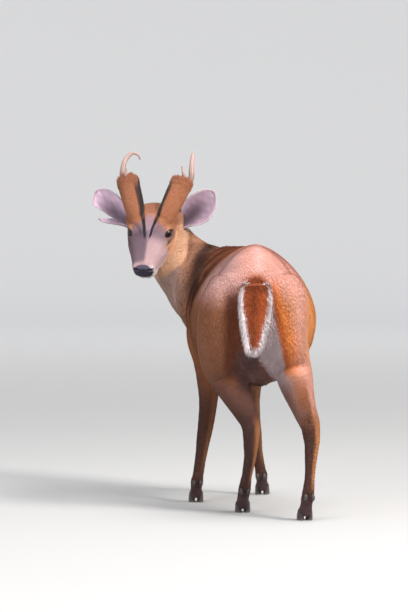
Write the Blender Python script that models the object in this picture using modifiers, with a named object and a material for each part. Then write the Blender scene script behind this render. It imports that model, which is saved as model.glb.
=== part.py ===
"""Life-size still model of an adult male muntjac, standing and looking back over its left shoulder.

Metres, +Z up. +X is forward along the pelvis, +Y the animal's left, and the floor is Z = 0.
The solids follow the outside of the coat.
"""

import math

import bmesh
import bpy
import numpy as np
from mathutils import Matrix, Vector

# Moves the stance so that the middle of its footprint box is the origin
STANCE_SHIFT = (-0.2937, -0.1145, 0.0)

# General making sizes
GAP = 0.0003
VOXEL = 0.0026
BODY_TRIANGLES = 5000
RING_POINTS = 40
SHARP_ANGLE = math.radians(48)

# Trunk stations: forward place, sideways place, top, bottom, half width
TRUNK = (
    (-0.022, 0.000, 0.487, 0.395, 0.030),
    (0.005, 0.000, 0.524, 0.352, 0.066),
    (0.045, 0.000, 0.558, 0.325, 0.092),
    (0.095, 0.000, 0.577, 0.303, 0.105),
    (0.155, 0.000, 0.582, 0.288, 0.111),
    (0.220, -0.001, 0.581, 0.276, 0.129),
    (0.290, 0.001, 0.578, 0.267, 0.139),
    (0.355, 0.012, 0.575, 0.263, 0.135),
    (0.420, 0.028, 0.574, 0.262, 0.117),
    (0.480, 0.044, 0.573, 0.266, 0.102),
    (0.535, 0.061, 0.568, 0.280, 0.087),
    (0.580, 0.076, 0.545, 0.308, 0.070),
    (0.612, 0.087, 0.500, 0.345, 0.044),
)
TRUNK_WIDEST = 0.48
TRUNK_TOP_ROUND, TRUNK_LOW_ROUND = 1.65, 2.1

# Neck stations: centre, half width, half depth
NECK = (
    (0.490, 0.050, 0.430, 0.082, 0.125),
    (0.560, 0.086, 0.460, 0.078, 0.110),
    (0.602, 0.134, 0.501, 0.068, 0.091),
    (0.616, 0.178, 0.549, 0.058, 0.075),
    (0.612, 0.207, 0.598, 0.049, 0.063),
    (0.597, 0.226, 0.628, 0.042, 0.050),
)

# Leg stations from root to coronet: centre, sideways radius, fore-and-aft radius
HIND_RIGHT = (
    (0.095, -0.045, 0.500, 0.050, 0.078),
    (0.080, -0.060, 0.445, 0.055, 0.098),
    (0.078, -0.063, 0.390, 0.049, 0.098),
    (0.085, -0.072, 0.340, 0.045, 0.082),
    (0.078, -0.085, 0.298, 0.039, 0.060),
    (0.040, -0.0945, 0.262, 0.031, 0.041),
    (-0.005, -0.104, 0.230, 0.025, 0.029),
    (-0.036, -0.114, 0.203, 0.021, 0.026),
    (-0.048, -0.118, 0.170, 0.0168, 0.020),
    (-0.055, -0.116, 0.135, 0.0132, 0.0152),
    (-0.065, -0.113, 0.092, 0.0106, 0.0132),
    (-0.074, -0.109, 0.055, 0.0130, 0.0162),
    (-0.067, -0.106, 0.035, 0.0122, 0.0142),
    (-0.054, -0.104, 0.018, 0.0148, 0.0176),
)
HIND_LEFT = (
    (0.095, 0.045, 0.500, 0.050, 0.078),
    (0.085, 0.062, 0.445, 0.058, 0.098),
    (0.092, 0.071, 0.390, 0.055, 0.098),
    (0.115, 0.073, 0.340, 0.048, 0.082),
    (0.126, 0.061, 0.298, 0.041, 0.060),
    (0.110, 0.040, 0.257, 0.032, 0.041),
    (0.072, 0.023, 0.224, 0.0245, 0.029),
    (0.048, 0.011, 0.198, 0.0205, 0.026),
    (0.050, 0.0095, 0.160, 0.0162, 0.0192),
    (0.060, 0.012, 0.122, 0.0128, 0.0148),
    (0.076, 0.018, 0.084, 0.0108, 0.0132),
    (0.087, 0.023, 0.053, 0.0132, 0.0160),
    (0.100, 0.026, 0.034, 0.0122, 0.0142),
    (0.115, 0.0265, 0.018, 0.0148, 0.0176),
)
FORE_LEFT = (
    (0.500, 0.101, 0.430, 0.046, 0.066),
    (0.487, 0.108, 0.370, 0.043, 0.066),
    (0.465, 0.102, 0.315, 0.034, 0.050),
    (0.449, 0.100, 0.265, 0.0265, 0.034),
    (0.430, 0.101, 0.220, 0.0205, 0.0245),
    (0.408, 0.106, 0.175, 0.0180, 0.0212),
    (0.392, 0.111, 0.145, 0.0160, 0.0182),
    (0.368, 0.118, 0.100, 0.0124, 0.0142),
    (0.346, 0.124, 0.062, 0.0120, 0.0138),
    (0.337, 0.1265, 0.048, 0.0138, 0.0162),
    (0.341, 0.128, 0.033, 0.0122, 0.0142),
    (0.351, 0.1285, 0.018, 0.0148, 0.0176),
)
FORE_RIGHT = (
    (0.500, -0.006, 0.430, 0.042, 0.066),
    (0.488, -0.012, 0.370, 0.041, 0.066),
    (0.476, -0.002, 0.315, 0.034, 0.050),
    (0.482, 0.004, 0.265, 0.0265, 0.034),
    (0.492, 0.004, 0.220, 0.0205, 0.0245),
    (0.503, 0.000, 0.175, 0.0180, 0.0212),
    (0.507, -0.005, 0.145, 0.0160, 0.0182),
    (0.511, -0.011, 0.100, 0.0124, 0.0142),
    (0.514, -0.018, 0.062, 0.0120, 0.0138),
    (0.516, -0.0205, 0.048, 0.0138, 0.0162),
    (0.526, -0.0220, 0.033, 0.0122, 0.0142),
    (0.540, -0.0230, 0.018, 0.0148, 0.0176),
)
LEGS = {
    "hind_left": HIND_LEFT,
    "hind_right": HIND_RIGHT,
    "fore_left": FORE_LEFT,
    "fore_right": FORE_RIGHT,
}
# Point of the hock behind and above its joint, and the station where its tendon starts
HOCK_STATION, TENDON_STATION = 7, 5
HOCK_BACK, HOCK_UP, HOCK_RADIUS = 0.017, 0.016, 0.0095

# Head: middle of the occiput, then turn to the rear, droop of the muzzle and tilt
HEAD_AT = (0.612, 0.2235, 0.6445)
HEAD_YAW, HEAD_PITCH, HEAD_ROLL = math.radians(170), math.radians(-41), math.radians(2.4)
# Head stations along its axis: distance, top, bottom, half width, height of the widest level
HEAD = (
    (-0.020, 0.018, -0.030, 0.0260, -0.004),
    (0.000, 0.034, -0.044, 0.0450, -0.002),
    (0.025, 0.043, -0.056, 0.0520, 0.000),
    (0.055, 0.045, -0.059, 0.0545, 0.006),
    (0.085, 0.040, -0.055, 0.0520, 0.006),
    (0.110, 0.0315, -0.0490, 0.0465, 0.000),
    (0.135, 0.0250, -0.0430, 0.0385, -0.005),
    (0.158, 0.0200, -0.0380, 0.0320, -0.006),
    (0.176, 0.0165, -0.0335, 0.0285, -0.006),
    (0.188, 0.0120, -0.0260, 0.0230, -0.006),
    (0.195, 0.0040, -0.0150, 0.0120, -0.005),
)
HEAD_TOP_ROUND, HEAD_LOW_ROUND = 2.25, 2.80
# Swellings of the face, given for the left side: centre and radii in the head's own directions
FACE_FORMS = (
    ((0.0743, 0.0381, 0.0158), (0.0220, 0.0165, 0.0170)),
    ((0.050, 0.036, -0.0220), (0.0340, 0.0170, 0.0310)),
    ((0.013, 0.050, -0.0010), (0.0280, 0.0170, 0.0280)),
    ((0.184, 0.0145, -0.0010), (0.0110, 0.0115, 0.0130)),
    ((0.160, 0.0060, -0.0340), (0.0220, 0.0125, 0.0110)),
)

# Folds of skin on the inner side of the turned neck, in the head's directions, with radii along
# the heading, to the side and upright
NECK_FOLDS = (
    ((0.046, 0.041, -0.0550), (0.0340, 0.0310, 0.0480)),
    ((0.080, 0.0310, -0.0775), (0.0250, 0.0220, 0.0280)),
)
# Soft swelling between the thighs: centre and radii
GROIN_AT, GROIN_RADII = (0.100, -0.010, 0.308), (0.034, 0.034, 0.033)

# Eyes, and the almond between the lids: half length, half height, tilt, outward direction
EYE_AT, EYE_RADIUS = (0.0802, 0.0373, 0.0151), 0.0140
LID_HALF_LENGTH, LID_HALF_HEIGHT, LID_RADIUS = 0.0126, 0.0066, 0.0018
LID_TILT, EYE_OUT = math.radians(17), (0.58, 0.74, 0.34)

# Mouth line: points on the side of the muzzle from the front of the lips to their corner
MOUTH = ((0.186, 0.0, -0.0215), (0.176, 0.03, -0.0205), (0.150, 0.03, -0.0190), (0.122, 0.03, -0.0225))
MOUTH_HEIGHT, MOUTH_DEPTH = 0.0014, 0.0034
NOSTRIL_AT, NOSTRIL_RADII = (0.1915, 0.0160, 0.0000), (0.0050, 0.0058, 0.0038)
GLAND_AT, GLAND_RADII = (0.1080, 0.0420, 0.0070), (0.0085, 0.0040, 0.0015)

# Pedicles, the furred stalks of the antlers, with ridges that carry them down the face
PEDICLE_FOOT, PEDICLE_LEAN = (0.056, 0.0310, 0.0320), (-0.87, 0.32, 0.39)
PEDICLE = (
    (-0.012, 0.0095),
    (-0.004, 0.0175),
    (0.012, 0.0220),
    (0.034, 0.0245),
    (0.066, 0.0262),
    (0.092, 0.0270),
    (0.104, 0.0254),
    (0.111, 0.0150),
)
ANTLER_SEAT = 0.115
RIDGE = ((0.088, 0.0175, 0.0375, 0.0062), (0.106, 0.0100, 0.0315, 0.0042), (0.122, 0.0050, 0.0270, 0.0022))

# Antler beams as (rise, toward the middle, back, radius), and the brow tines in front of them
BEAMS = {
    "right": (
        (-0.008, -0.002, 0.000, 0.0076),
        (0.005, -0.002, 0.001, 0.0074),
        (0.017, -0.0015, 0.003, 0.0067),
        (0.034, 0.0015, 0.008, 0.0060),
        (0.047, 0.0095, 0.014, 0.0052),
        (0.0535, 0.021, 0.018, 0.0041),
        (0.048, 0.032, 0.018, 0.0028),
        (0.039, 0.036, 0.015, 0.0012),
    ),
    "left": (
        (-0.014, 0.005, 0.000, 0.0072),
        (0.003, 0.000, 0.002, 0.0074),
        (0.017, 0.000, 0.005, 0.0067),
        (0.034, 0.0005, 0.012, 0.0060),
        (0.049, 0.001, 0.024, 0.0052),
        (0.055, 0.003, 0.036, 0.0040),
        (0.051, 0.005, 0.047, 0.0028),
        (0.043, 0.006, 0.052, 0.0012),
    ),
}
BEAM_OUTWARD = {"left": 0.0165, "right": 0.0071}
TINES = {
    "right": (
        (-0.004, 0.0050, -0.0060),
        (-0.007, 0.0080, -0.0190),
        (0.003, 0.0105, -0.0255),
        (0.0165, 0.0125, -0.0265),
    ),
    "left": (
        (-0.006, 0.0100, -0.0100),
        (0.003, 0.0135, -0.0130),
        (0.014, 0.0165, -0.0140),
        (0.026, 0.0195, -0.0140),
    ),
}
TINE_RADII = (0.0052, 0.0050, 0.0036, 0.0010)

# Ears: foot, direction of each ear in the head frame, and rows of (share of length,
# half width along the skin, half angle of the cup in degrees)
EAR_FOOT, EAR_OPENING = (0.016, 0.0555, -0.0200), (0.74, 0.17, 0.65)
EAR_LEANS = {"left": (-0.49, 0.700, 0.530), "right": (-0.44, 0.755, 0.478)}
EAR_LENGTH, EAR_WALL = 0.111, 0.0028
# How far the middle line of each ear bows across, toward the lower edge where it is negative
EAR_BOWS = {"left": 0.003, "right": -0.008}
EAR_ROWS = (
    (0.00, 0.0230, 130),
    (0.10, 0.0265, 120),
    (0.25, 0.0350, 95),
    (0.42, 0.0405, 70),
    (0.58, 0.0395, 58),
    (0.74, 0.0330, 50),
    (0.87, 0.0230, 42),
    (0.96, 0.0115, 36),
    (1.00, 0.0030, 32),
)
EAR_BULB, EAR_BULB_AT = (0.0185, 0.0152, 0.0134), (0.003, 0.002)
# Tear in the lower edge of the right ear: where it starts and ends along and across the ear
TEAR_MOUTH, TEAR_END, TEAR_WIDTH = (0.709, -0.0389), (0.349, -0.0182), 0.0189

# Tail: centre, half width and half thickness of its flattened brush
TAIL = (
    (0.014, 0.000, 0.490, 0.024, 0.014),
    (-0.014, 0.000, 0.492, 0.030, 0.012),
    (-0.036, 0.001, 0.470, 0.033, 0.0105),
    (-0.046, 0.002, 0.435, 0.030, 0.0100),
    (-0.050, 0.003, 0.400, 0.024, 0.0090),
    (-0.050, 0.004, 0.370, 0.016, 0.0070),
    (-0.049, 0.004, 0.348, 0.005, 0.0035),
)

# Claws of each foot as (height, length, width, setback), their spread and the dewclaws
CLAW = (
    (0.0000, 0.0385, 0.0142, 0.0000),
    (0.0025, 0.0390, 0.0146, 0.0000),
    (0.0110, 0.0345, 0.0140, 0.0022),
    (0.0190, 0.0290, 0.0128, 0.0046),
    (0.0240, 0.0235, 0.0105, 0.0060),
)
CLAW_ADVANCE, CLAW_APART, CLAW_TOE_OUT = 0.0090, 0.0168, math.radians(2)
CLAW_HEEL_SPLAY = 0.0012
DEWCLAW_BACK, DEWCLAW_APART, DEWCLAW_RADII = 0.0150, 0.0150, (0.0055, 0.0045, 0.0080)
FETLOCK_FROM_END = 2

# Cuts between nodes: place, normal, long direction, half length along it, half width across it
CHEST_AT, CHEST_ALONG = (0.400, 0.024, 0.420), (0.970, 0.242, 0.0)
RUMP_FRONT = 0.215
CUTS = (
    ((RUMP_FRONT, 0.0, 0.420), (1, 0, 0), (0, 1, 0), 0.20, 0.18),
    (CHEST_AT, CHEST_ALONG, (0, 0, 1), 0.17, 0.20),
    ((0.585, 0.108, 0.487), (0.55, 0.58, 0.60), (0, 0, 1), 0.17, 0.17),
    ((0.615, 0.190, 0.575), (-0.50, 0.60, 0.62), (0, 0, 1), 0.115, 0.115),
    ((0.062, -0.090, 0.278), (0.35, 0.00, 0.94), (1, 0, 0), 0.075, 0.060),
    ((0.118, 0.066, 0.280), (0.35, 0.00, 0.94), (1, 0, 0), 0.090, 0.066),
    ((-0.003, -0.103, 0.235), (0.50, 0.10, 0.85), (1, 0, 0), 0.055, 0.045),
    ((0.078, 0.036, 0.232), (0.50, 0.20, 0.85), (1, 0, 0), 0.055, 0.045),
    ((0.446, 0.100, 0.250), (0.25, 0.00, 0.97), (1, 0, 0), 0.050, 0.045),
    ((0.485, -0.008, 0.250), (-0.20, 0.00, 0.98), (1, 0, 0), 0.050, 0.045),
    ((0.400, 0.1085, 0.160), (0.40, -0.10, 0.90), (1, 0, 0), 0.035, 0.035),
    ((0.5045, -0.0135, 0.160), (-0.10, 0.05, 1.00), (1, 0, 0), 0.035, 0.035),
)
# Sloping cuts from groin and armpit out to hip and shoulder: inner and outer end as (side, height)
HIP_CUT = ((-0.008, 0.269), (0.150, 0.4586))
SHOULDER_CUT = ((-0.012, 0.2450), (0.125, 0.4100))
HIP_BACK, SHOULDER_LENGTH = -0.075, 0.245

# Middle of each node cut from the body, by which the cut pieces are told apart
BODY_NODES = {
    "torso_rump": (0.09, 0.0, 0.46),
    "torso_belly": (0.31, 0.0, 0.43),
    "torso_chest": (0.50, 0.05, 0.46),
    "neck": (0.605, 0.16, 0.54),
    "head": (0.55, 0.23, 0.60),
    "hind_left_thigh": (0.11, 0.085, 0.34),
    "hind_right_thigh": (0.09, -0.085, 0.34),
    "hind_left_shank": (0.10, 0.050, 0.25),
    "hind_right_shank": (0.025, -0.096, 0.25),
    "hind_left_cannon": (0.065, 0.015, 0.12),
    "hind_right_cannon": (-0.055, -0.115, 0.12),
    "fore_left_upper": (0.475, 0.115, 0.31),
    "fore_right_upper": (0.485, -0.020, 0.31),
    "fore_left_forearm": (0.42, 0.104, 0.20),
    "fore_right_forearm": (0.497, -0.011, 0.20),
    "fore_left_cannon": (0.36, 0.12, 0.08),
    "fore_right_cannon": (0.515, -0.02, 0.08),
}

COLOURS = {
    "coat_red": (0.42, 0.17, 0.06),
    "coat_dark": (0.13, 0.08, 0.06),
    "coat_pale": (0.55, 0.42, 0.33),
    "ear_skin": (0.42, 0.28, 0.30),
    "eye": (0.02, 0.012, 0.01),
    "antler": (0.62, 0.47, 0.36),
    "horn": (0.04, 0.032, 0.03),
}


def clear_scene():
    for obj in list(bpy.data.objects):
        bpy.data.objects.remove(obj)


def collection_named(name):
    made = bpy.data.collections.new(name)
    bpy.context.scene.collection.children.link(made)
    return made


def material(name):
    found = bpy.data.materials.get(name)
    if found:
        return found
    made = bpy.data.materials.new(name)
    made.use_nodes = True
    shader = made.node_tree.nodes["Principled BSDF"]
    shader.inputs["Base Color"].default_value = (*COLOURS[name], 1.0)
    shader.inputs["Roughness"].default_value = 0.25 if name == "eye" else 0.75
    return made


def unit(vector):
    vector = np.asarray(vector, float)
    return vector / np.linalg.norm(vector)


class HeadFrame:
    """Places points given as distance along the head's axis, to its left and above it."""

    def __init__(self):
        heading = np.array([math.cos(HEAD_YAW), math.sin(HEAD_YAW), 0.0])
        level = np.array([0.0, 0.0, 1.0])
        self.forward = math.cos(HEAD_PITCH) * heading + math.sin(HEAD_PITCH) * level
        up = math.cos(HEAD_PITCH) * level - math.sin(HEAD_PITCH) * heading
        left = np.cross(up, self.forward)
        self.up = math.cos(HEAD_ROLL) * up + math.sin(HEAD_ROLL) * left
        self.left = math.cos(HEAD_ROLL) * left - math.sin(HEAD_ROLL) * up
        self.axes = np.array([self.forward, self.left, self.up])
        self.heading = heading

    def place(self, points):
        return np.asarray(HEAD_AT) + np.asarray(points, float) @ self.axes

    def turn(self, vectors):
        return np.asarray(vectors, float) @ self.axes


FRAME = HeadFrame()
SIDES = {"left": 1, "right": -1}


def sided(point, side):
    """A point or direction of the head given for the left side, moved to the named side."""
    return np.array([point[0], SIDES[side] * point[1], point[2]])


def smooth_stations(stations, per_span):
    """Catmull-Rom curve through the rows of stations, with per_span steps between two rows."""
    rows = np.asarray(stations, float)
    padded = np.vstack([2 * rows[0] - rows[1], rows, 2 * rows[-1] - rows[-2]])
    out = []
    for i in range(1, len(padded) - 2):
        a, b, c, d = padded[i - 1 : i + 3]
        for t in np.arange(per_span) / per_span:
            square = (2 * a - 5 * b + 4 * c - d) * t**2
            cube = (3 * b - a - 3 * c + d) * t**3
            out.append(0.5 * (2 * b + (c - a) * t + square + cube))
    out.append(rows[-1])
    return np.array(out)


def new_object(name, verts, faces, collection):
    mesh = bpy.data.meshes.new(name)
    mesh.from_pydata([tuple(v) for v in verts], [], faces)
    mesh.update()
    obj = bpy.data.objects.new(name, mesh)
    collection.objects.link(obj)
    turn_outward(obj)
    return obj


def turn_outward(obj):
    bm = bmesh.new()
    bm.from_mesh(obj.data)
    bmesh.ops.recalc_face_normals(bm, faces=bm.faces)
    if bm.calc_volume(signed=True) < 0:
        bmesh.ops.reverse_faces(bm, faces=bm.faces)
    bm.to_mesh(obj.data)
    bm.free()


def loft(name, rings, collection):
    """Closed body through rings of equal point count, with a fan on each end."""
    rings = [np.asarray(r, float) for r in rings]
    count, around = len(rings), len(rings[0])
    verts = [p for ring in rings for p in ring]
    faces = []
    for i in range(count - 1):
        for j in range(around):
            k = (j + 1) % around
            near, far = i * around, (i + 1) * around
            faces.append((near + j, near + k, far + k, far + j))
    first, last = len(verts), len(verts) + 1
    verts += [rings[0].mean(0), rings[-1].mean(0)]
    end = (count - 1) * around
    for j in range(around):
        k = (j + 1) % around
        faces.append((first, k, j))
        faces.append((last, end + j, end + k))
    return new_object(name, verts, faces, collection)


def path_loft(name, stations, side, collection, per_span=4, around=RING_POINTS):
    """Tube along stations of centre, radius across the path toward side, and radius square to it."""
    rows = smooth_stations(stations, per_span)
    centres = rows[:, :3]
    tangents = np.gradient(centres, axis=0)
    angles = np.linspace(0, 2 * math.pi, around, endpoint=False)
    rings = []
    for centre, tangent, (r_side, r_cross) in zip(centres, tangents, rows[:, 3:5]):
        tangent = unit(tangent)
        across = unit(np.asarray(side) - np.dot(side, tangent) * tangent)
        other = np.cross(tangent, across)
        width = np.outer(np.cos(angles) * r_side, across)
        rings.append(centre + width + np.outer(np.sin(angles) * r_cross, other))
    return loft(name, rings, collection)


def ellipsoid(name, centre, radii, axes, collection, segments=20):
    """Ellipsoid with its three radii along the rows of axes."""
    bm = bmesh.new()
    bmesh.ops.create_uvsphere(bm, u_segments=segments, v_segments=segments // 2, radius=1.0)
    basis = Matrix(np.asarray(axes, float).T.tolist()).to_4x4()
    placed = Matrix.Translation(centre) @ basis @ Matrix.Diagonal((*radii, 1.0))
    bmesh.ops.transform(bm, matrix=placed, verts=bm.verts)
    mesh = bpy.data.meshes.new(name)
    bm.to_mesh(mesh)
    bm.free()
    obj = bpy.data.objects.new(name, mesh)
    collection.objects.link(obj)
    turn_outward(obj)
    return obj


def plate(cut, helpers):
    """Thin plate, as thick as the gap between two nodes."""
    centre, normal, along, half_along, half_across = cut
    normal = unit(normal)
    first = unit(np.asarray(along, float) - np.dot(along, normal) * normal)
    second = np.cross(normal, first)
    bm = bmesh.new()
    bmesh.ops.create_cube(bm, size=2.0)
    basis = Matrix(np.array([first, second, normal]).T.tolist()).to_4x4()
    sizes = Matrix.Diagonal((half_along, half_across, GAP / 2, 1.0))
    bmesh.ops.transform(bm, matrix=Matrix.Translation(centre) @ basis @ sizes, verts=bm.verts)
    mesh = bpy.data.meshes.new("plate")
    bm.to_mesh(mesh)
    bm.free()
    obj = bpy.data.objects.new("plate", mesh)
    helpers.objects.link(obj)
    turn_outward(obj)
    return obj


def apply_modifiers(obj):
    graph = bpy.context.evaluated_depsgraph_get()
    mesh = bpy.data.meshes.new_from_object(obj.evaluated_get(graph), depsgraph=graph)
    old = obj.data
    obj.modifiers.clear()
    obj.data = mesh
    bpy.data.meshes.remove(old)
    return obj


def join(name, objects, collection):
    """One object that holds the meshes of all, still as separate shells."""
    bm = bmesh.new()
    for obj in objects:
        bm.from_mesh(obj.data)
        bpy.data.objects.remove(obj)
    mesh = bpy.data.meshes.new(name)
    bm.to_mesh(mesh)
    bm.free()
    joined = bpy.data.objects.new(name, mesh)
    collection.objects.link(joined)
    return joined


def points_of(obj):
    out = np.empty(len(obj.data.vertices) * 3)
    obj.data.vertices.foreach_get("co", out)
    return out.reshape(-1, 3)


def weigh(obj, name, weights):
    group = obj.vertex_groups.new(name=name)
    for index in np.nonzero(weights > 0.01)[0]:
        group.add([int(index)], float(weights[index]), "REPLACE")


def boolean(obj, operation, others, solver="EXACT"):
    """Joins obj with the others or cuts them out of it, and removes them."""
    pieces = bpy.data.collections.new("cutters")
    bpy.context.scene.collection.children.link(pieces)
    for other in others:
        pieces.objects.link(other)
    modifier = obj.modifiers.new("boolean", "BOOLEAN")
    modifier.operation = operation
    modifier.operand_type = "COLLECTION"
    modifier.collection = pieces
    modifier.solver = solver
    apply_modifiers(obj)
    for other in others:
        bpy.data.objects.remove(other)
    bpy.data.collections.remove(pieces)
    return obj


def shells_of(obj):
    """The closed surfaces of a mesh as (points, faces), the one with most room inside first."""
    bm = bmesh.new()
    bm.from_mesh(obj.data)
    bmesh.ops.remove_doubles(bm, verts=bm.verts, dist=1e-7)
    seen, shells = set(), []
    for start in bm.faces:
        if start in seen:
            continue
        seen.add(start)
        stack, found = [start], []
        while stack:
            face = stack.pop()
            found.append(face)
            for edge in face.edges:
                for other in edge.link_faces:
                    if other not in seen:
                        seen.add(other)
                        stack.append(other)
        index = {}
        for face in found:
            for vert in face.verts:
                index.setdefault(vert, len(index))
        points = np.array([tuple(vert.co) for vert in index])
        faces = [[index[vert] for vert in face.verts] for face in found]
        shells.append((points, faces))
    bm.free()
    return sorted(shells, key=lambda shell: -volume_of(*shell))


def volume_of(points, faces):
    total = 0.0
    for face in faces:
        first = points[face[0]]
        for i in range(1, len(face) - 1):
            total += np.dot(first, np.cross(points[face[i]], points[face[i + 1]])) / 6
    return total


def finish_node(obj, name, shell=None, colour="coat_red"):
    """Keeps the largest closed surface of obj as a smooth-shaded node of triangles."""
    points, faces = shell or shells_of(obj)[0]
    mesh = bpy.data.meshes.new(name)
    mesh.from_pydata([tuple(p) for p in points], [], faces)
    bm = bmesh.new()
    bm.from_mesh(mesh)
    bmesh.ops.triangulate(bm, faces=bm.faces)
    bmesh.ops.dissolve_degenerate(bm, edges=bm.edges, dist=1e-6)
    bm.to_mesh(mesh)
    bm.free()
    mesh.polygons.foreach_set("use_smooth", [True] * len(mesh.polygons))
    mesh.set_sharp_from_angle(angle=SHARP_ANGLE)
    mesh.materials.append(material(colour))
    if obj:
        bpy.data.objects.remove(obj)
    node = bpy.data.objects.new(name, mesh)
    bpy.data.collections["muntjac"].objects.link(node)
    bpy.context.view_layer.update()
    return node


def grown_copy(obj, helpers, by=GAP):
    """A copy of obj with its surface moved outward, to cut its neighbours clear of it."""
    mesh = obj.data.copy()
    mesh.materials.clear()
    copy = bpy.data.objects.new(obj.name + "_grown", mesh)
    helpers.objects.link(copy)
    normals = np.empty(len(mesh.vertices) * 3)
    mesh.vertices.foreach_get("normal", normals)
    moved = points_of(copy) + normals.reshape(-1, 3) * by
    mesh.vertices.foreach_set("co", moved.ravel())
    mesh.update()
    return copy


def falloff(points, centre, radius):
    """1 at centre, easing to 0 at radius."""
    near = np.clip(1 - np.linalg.norm(points - np.asarray(centre), axis=1) / radius, 0, 1)
    return near * near * (3 - 2 * near)


def superellipse(angles, power_top, power_low):
    cos, sin = np.cos(angles), np.sin(angles)
    power = np.where(sin > 0, 2 / power_top, 2 / power_low)
    return np.sign(cos) * np.abs(cos) ** power, np.sign(sin) * np.abs(sin) ** power


def trunk_rings():
    """Egg-shaped rings square to the bend of the spine, flatter sided above than below."""
    rows = smooth_stations(TRUNK, 4)
    slopes = np.gradient(rows[:, 1], rows[:, 0])
    angles = np.linspace(0, 2 * math.pi, RING_POINTS, endpoint=False)
    wide, tall = superellipse(angles, TRUNK_TOP_ROUND, TRUNK_LOW_ROUND)
    rings = []
    for (x, y, top, bottom, half), slope in zip(rows, slopes):
        widest = bottom + TRUNK_WIDEST * (top - bottom)
        rise = tall * np.where(tall > 0, top - widest, widest - bottom)
        across = unit((-slope, 1.0, 0.0))
        spread = np.outer(half * wide, across) + np.outer(rise, (0, 0, 1))
        rings.append(np.array([x, y, widest]) + spread)
    return rings


def head_rings():
    rows = smooth_stations(HEAD, 4)
    angles = np.linspace(0, 2 * math.pi, RING_POINTS, endpoint=False)
    wide, tall = superellipse(angles, HEAD_TOP_ROUND, HEAD_LOW_ROUND)
    rings = []
    for along, top, bottom, half, level in rows:
        rise = level + tall * np.where(tall > 0, top - level, level - bottom)
        rings.append(FRAME.place(np.column_stack([np.full(len(wide), along), half * wide, rise])))
    return rings


def hock_tendon(name, rows, helpers):
    """The point of the hock with the tendon that comes down to it from the calf."""
    hock = np.array(rows[HOCK_STATION][:3])
    point = hock + (-HOCK_BACK, 0.0, HOCK_UP)
    calf = np.array(rows[TENDON_STATION][:3]) + (-0.012, 0.0, 0.012)
    strip = (
        (*calf, 0.014, 0.016),
        (*(0.45 * calf + 0.55 * point), 0.009, 0.010),
        (*point, HOCK_RADIUS, HOCK_RADIUS),
        (*(point + (0.006, 0.0, -0.020)), HOCK_RADIUS, HOCK_RADIUS),
    )
    return path_loft(name + "_tendon", strip, (0, 1, 0), helpers, around=16)


def face_forms(helpers):
    """Brows, cheeks, nostril wings, chin and the ridges that run down from the pedicles."""
    forms = []
    for side in SIDES:
        for centre, radii in FACE_FORMS:
            at = FRAME.place(sided(centre, side))
            forms.append(ellipsoid("form", at, radii, FRAME.axes, helpers))
        foot = FRAME.place(sided(PEDICLE_FOOT, side))
        start = foot + 0.018 * FRAME.turn(unit(sided(PEDICLE_LEAN, side)))
        rows = [(*start, 0.0185, 0.0185), (*foot, 0.0185, 0.0175)]
        for x, y, z, radius in RIDGE:
            rows.append((*FRAME.place(sided((x, y, z), side)), radius, radius))
        forms.append(path_loft("ridge", rows, FRAME.left, helpers, around=16))
    for centre, radii in NECK_FOLDS:
        axes = (FRAME.heading, FRAME.left, (0.0, 0.0, 1.0))
        forms.append(ellipsoid("fold", FRAME.place(centre), radii, axes, helpers))
    return forms


def fused_body(helpers):
    """Trunk, neck, head and legs as one surface with softened joins."""
    pieces = [loft("trunk", trunk_rings(), helpers)]
    pieces.append(path_loft("neck_core", NECK, (-0.6, 0.8, 0.0), helpers))
    pieces.append(loft("head_core", head_rings(), helpers))
    for name, stations in LEGS.items():
        pieces.append(path_loft(name + "_core", stations, (0, 1, 0), helpers))
    for name in ("hind_right", "hind_left"):
        pieces.append(hock_tendon(name, LEGS[name], helpers))
    pieces.append(ellipsoid("groin", GROIN_AT, GROIN_RADII, np.eye(3), helpers))
    pieces += face_forms(helpers)
    body = join("body", pieces, helpers)
    fuse = body.modifiers.new("fuse", "REMESH")
    fuse.mode = "VOXEL"
    fuse.voxel_size = VOXEL
    apply_modifiers(body)
    soften(body)
    thin_out(body)
    return body


def soften(body):
    """Eases the creases where legs, neck and head leave the trunk, and leaves slender parts alone."""
    points = points_of(body)
    weights = np.zeros(len(points))
    for centre, radius in (
        ((0.080, -0.075, 0.42), 0.24),
        ((0.095, 0.070, 0.42), 0.24),
        ((0.485, 0.105, 0.38), 0.17),
        ((0.485, -0.010, 0.38), 0.17),
        ((0.560, 0.090, 0.48), 0.24),
        ((0.610, 0.215, 0.60), 0.10),
        ((0.000, 0.000, 0.45), 0.14),
    ):
        weights = np.maximum(weights, np.clip(1.6 * falloff(points, centre, radius), 0, 1))
    face = falloff(points, FRAME.place((0.11, 0.0, 0.0)), 0.15)
    weights *= 1 - np.clip(1.5 * face, 0, 1)
    weigh(body, "joins", weights)
    ease = body.modifiers.new("ease", "SMOOTH")
    ease.factor = 0.6
    ease.iterations = 60
    ease.vertex_group = "joins"
    even = body.modifiers.new("even", "SMOOTH")
    even.factor = 0.5
    even.iterations = 3
    apply_modifiers(body)
    body.vertex_groups.clear()


def thin_out(body):
    count = sum(len(p.vertices) - 2 for p in body.data.polygons)
    thin = body.modifiers.new("thin", "DECIMATE")
    thin.ratio = BODY_TRIANGLES / count
    thin.use_collapse_triangulate = True
    apply_modifiers(body)


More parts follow.
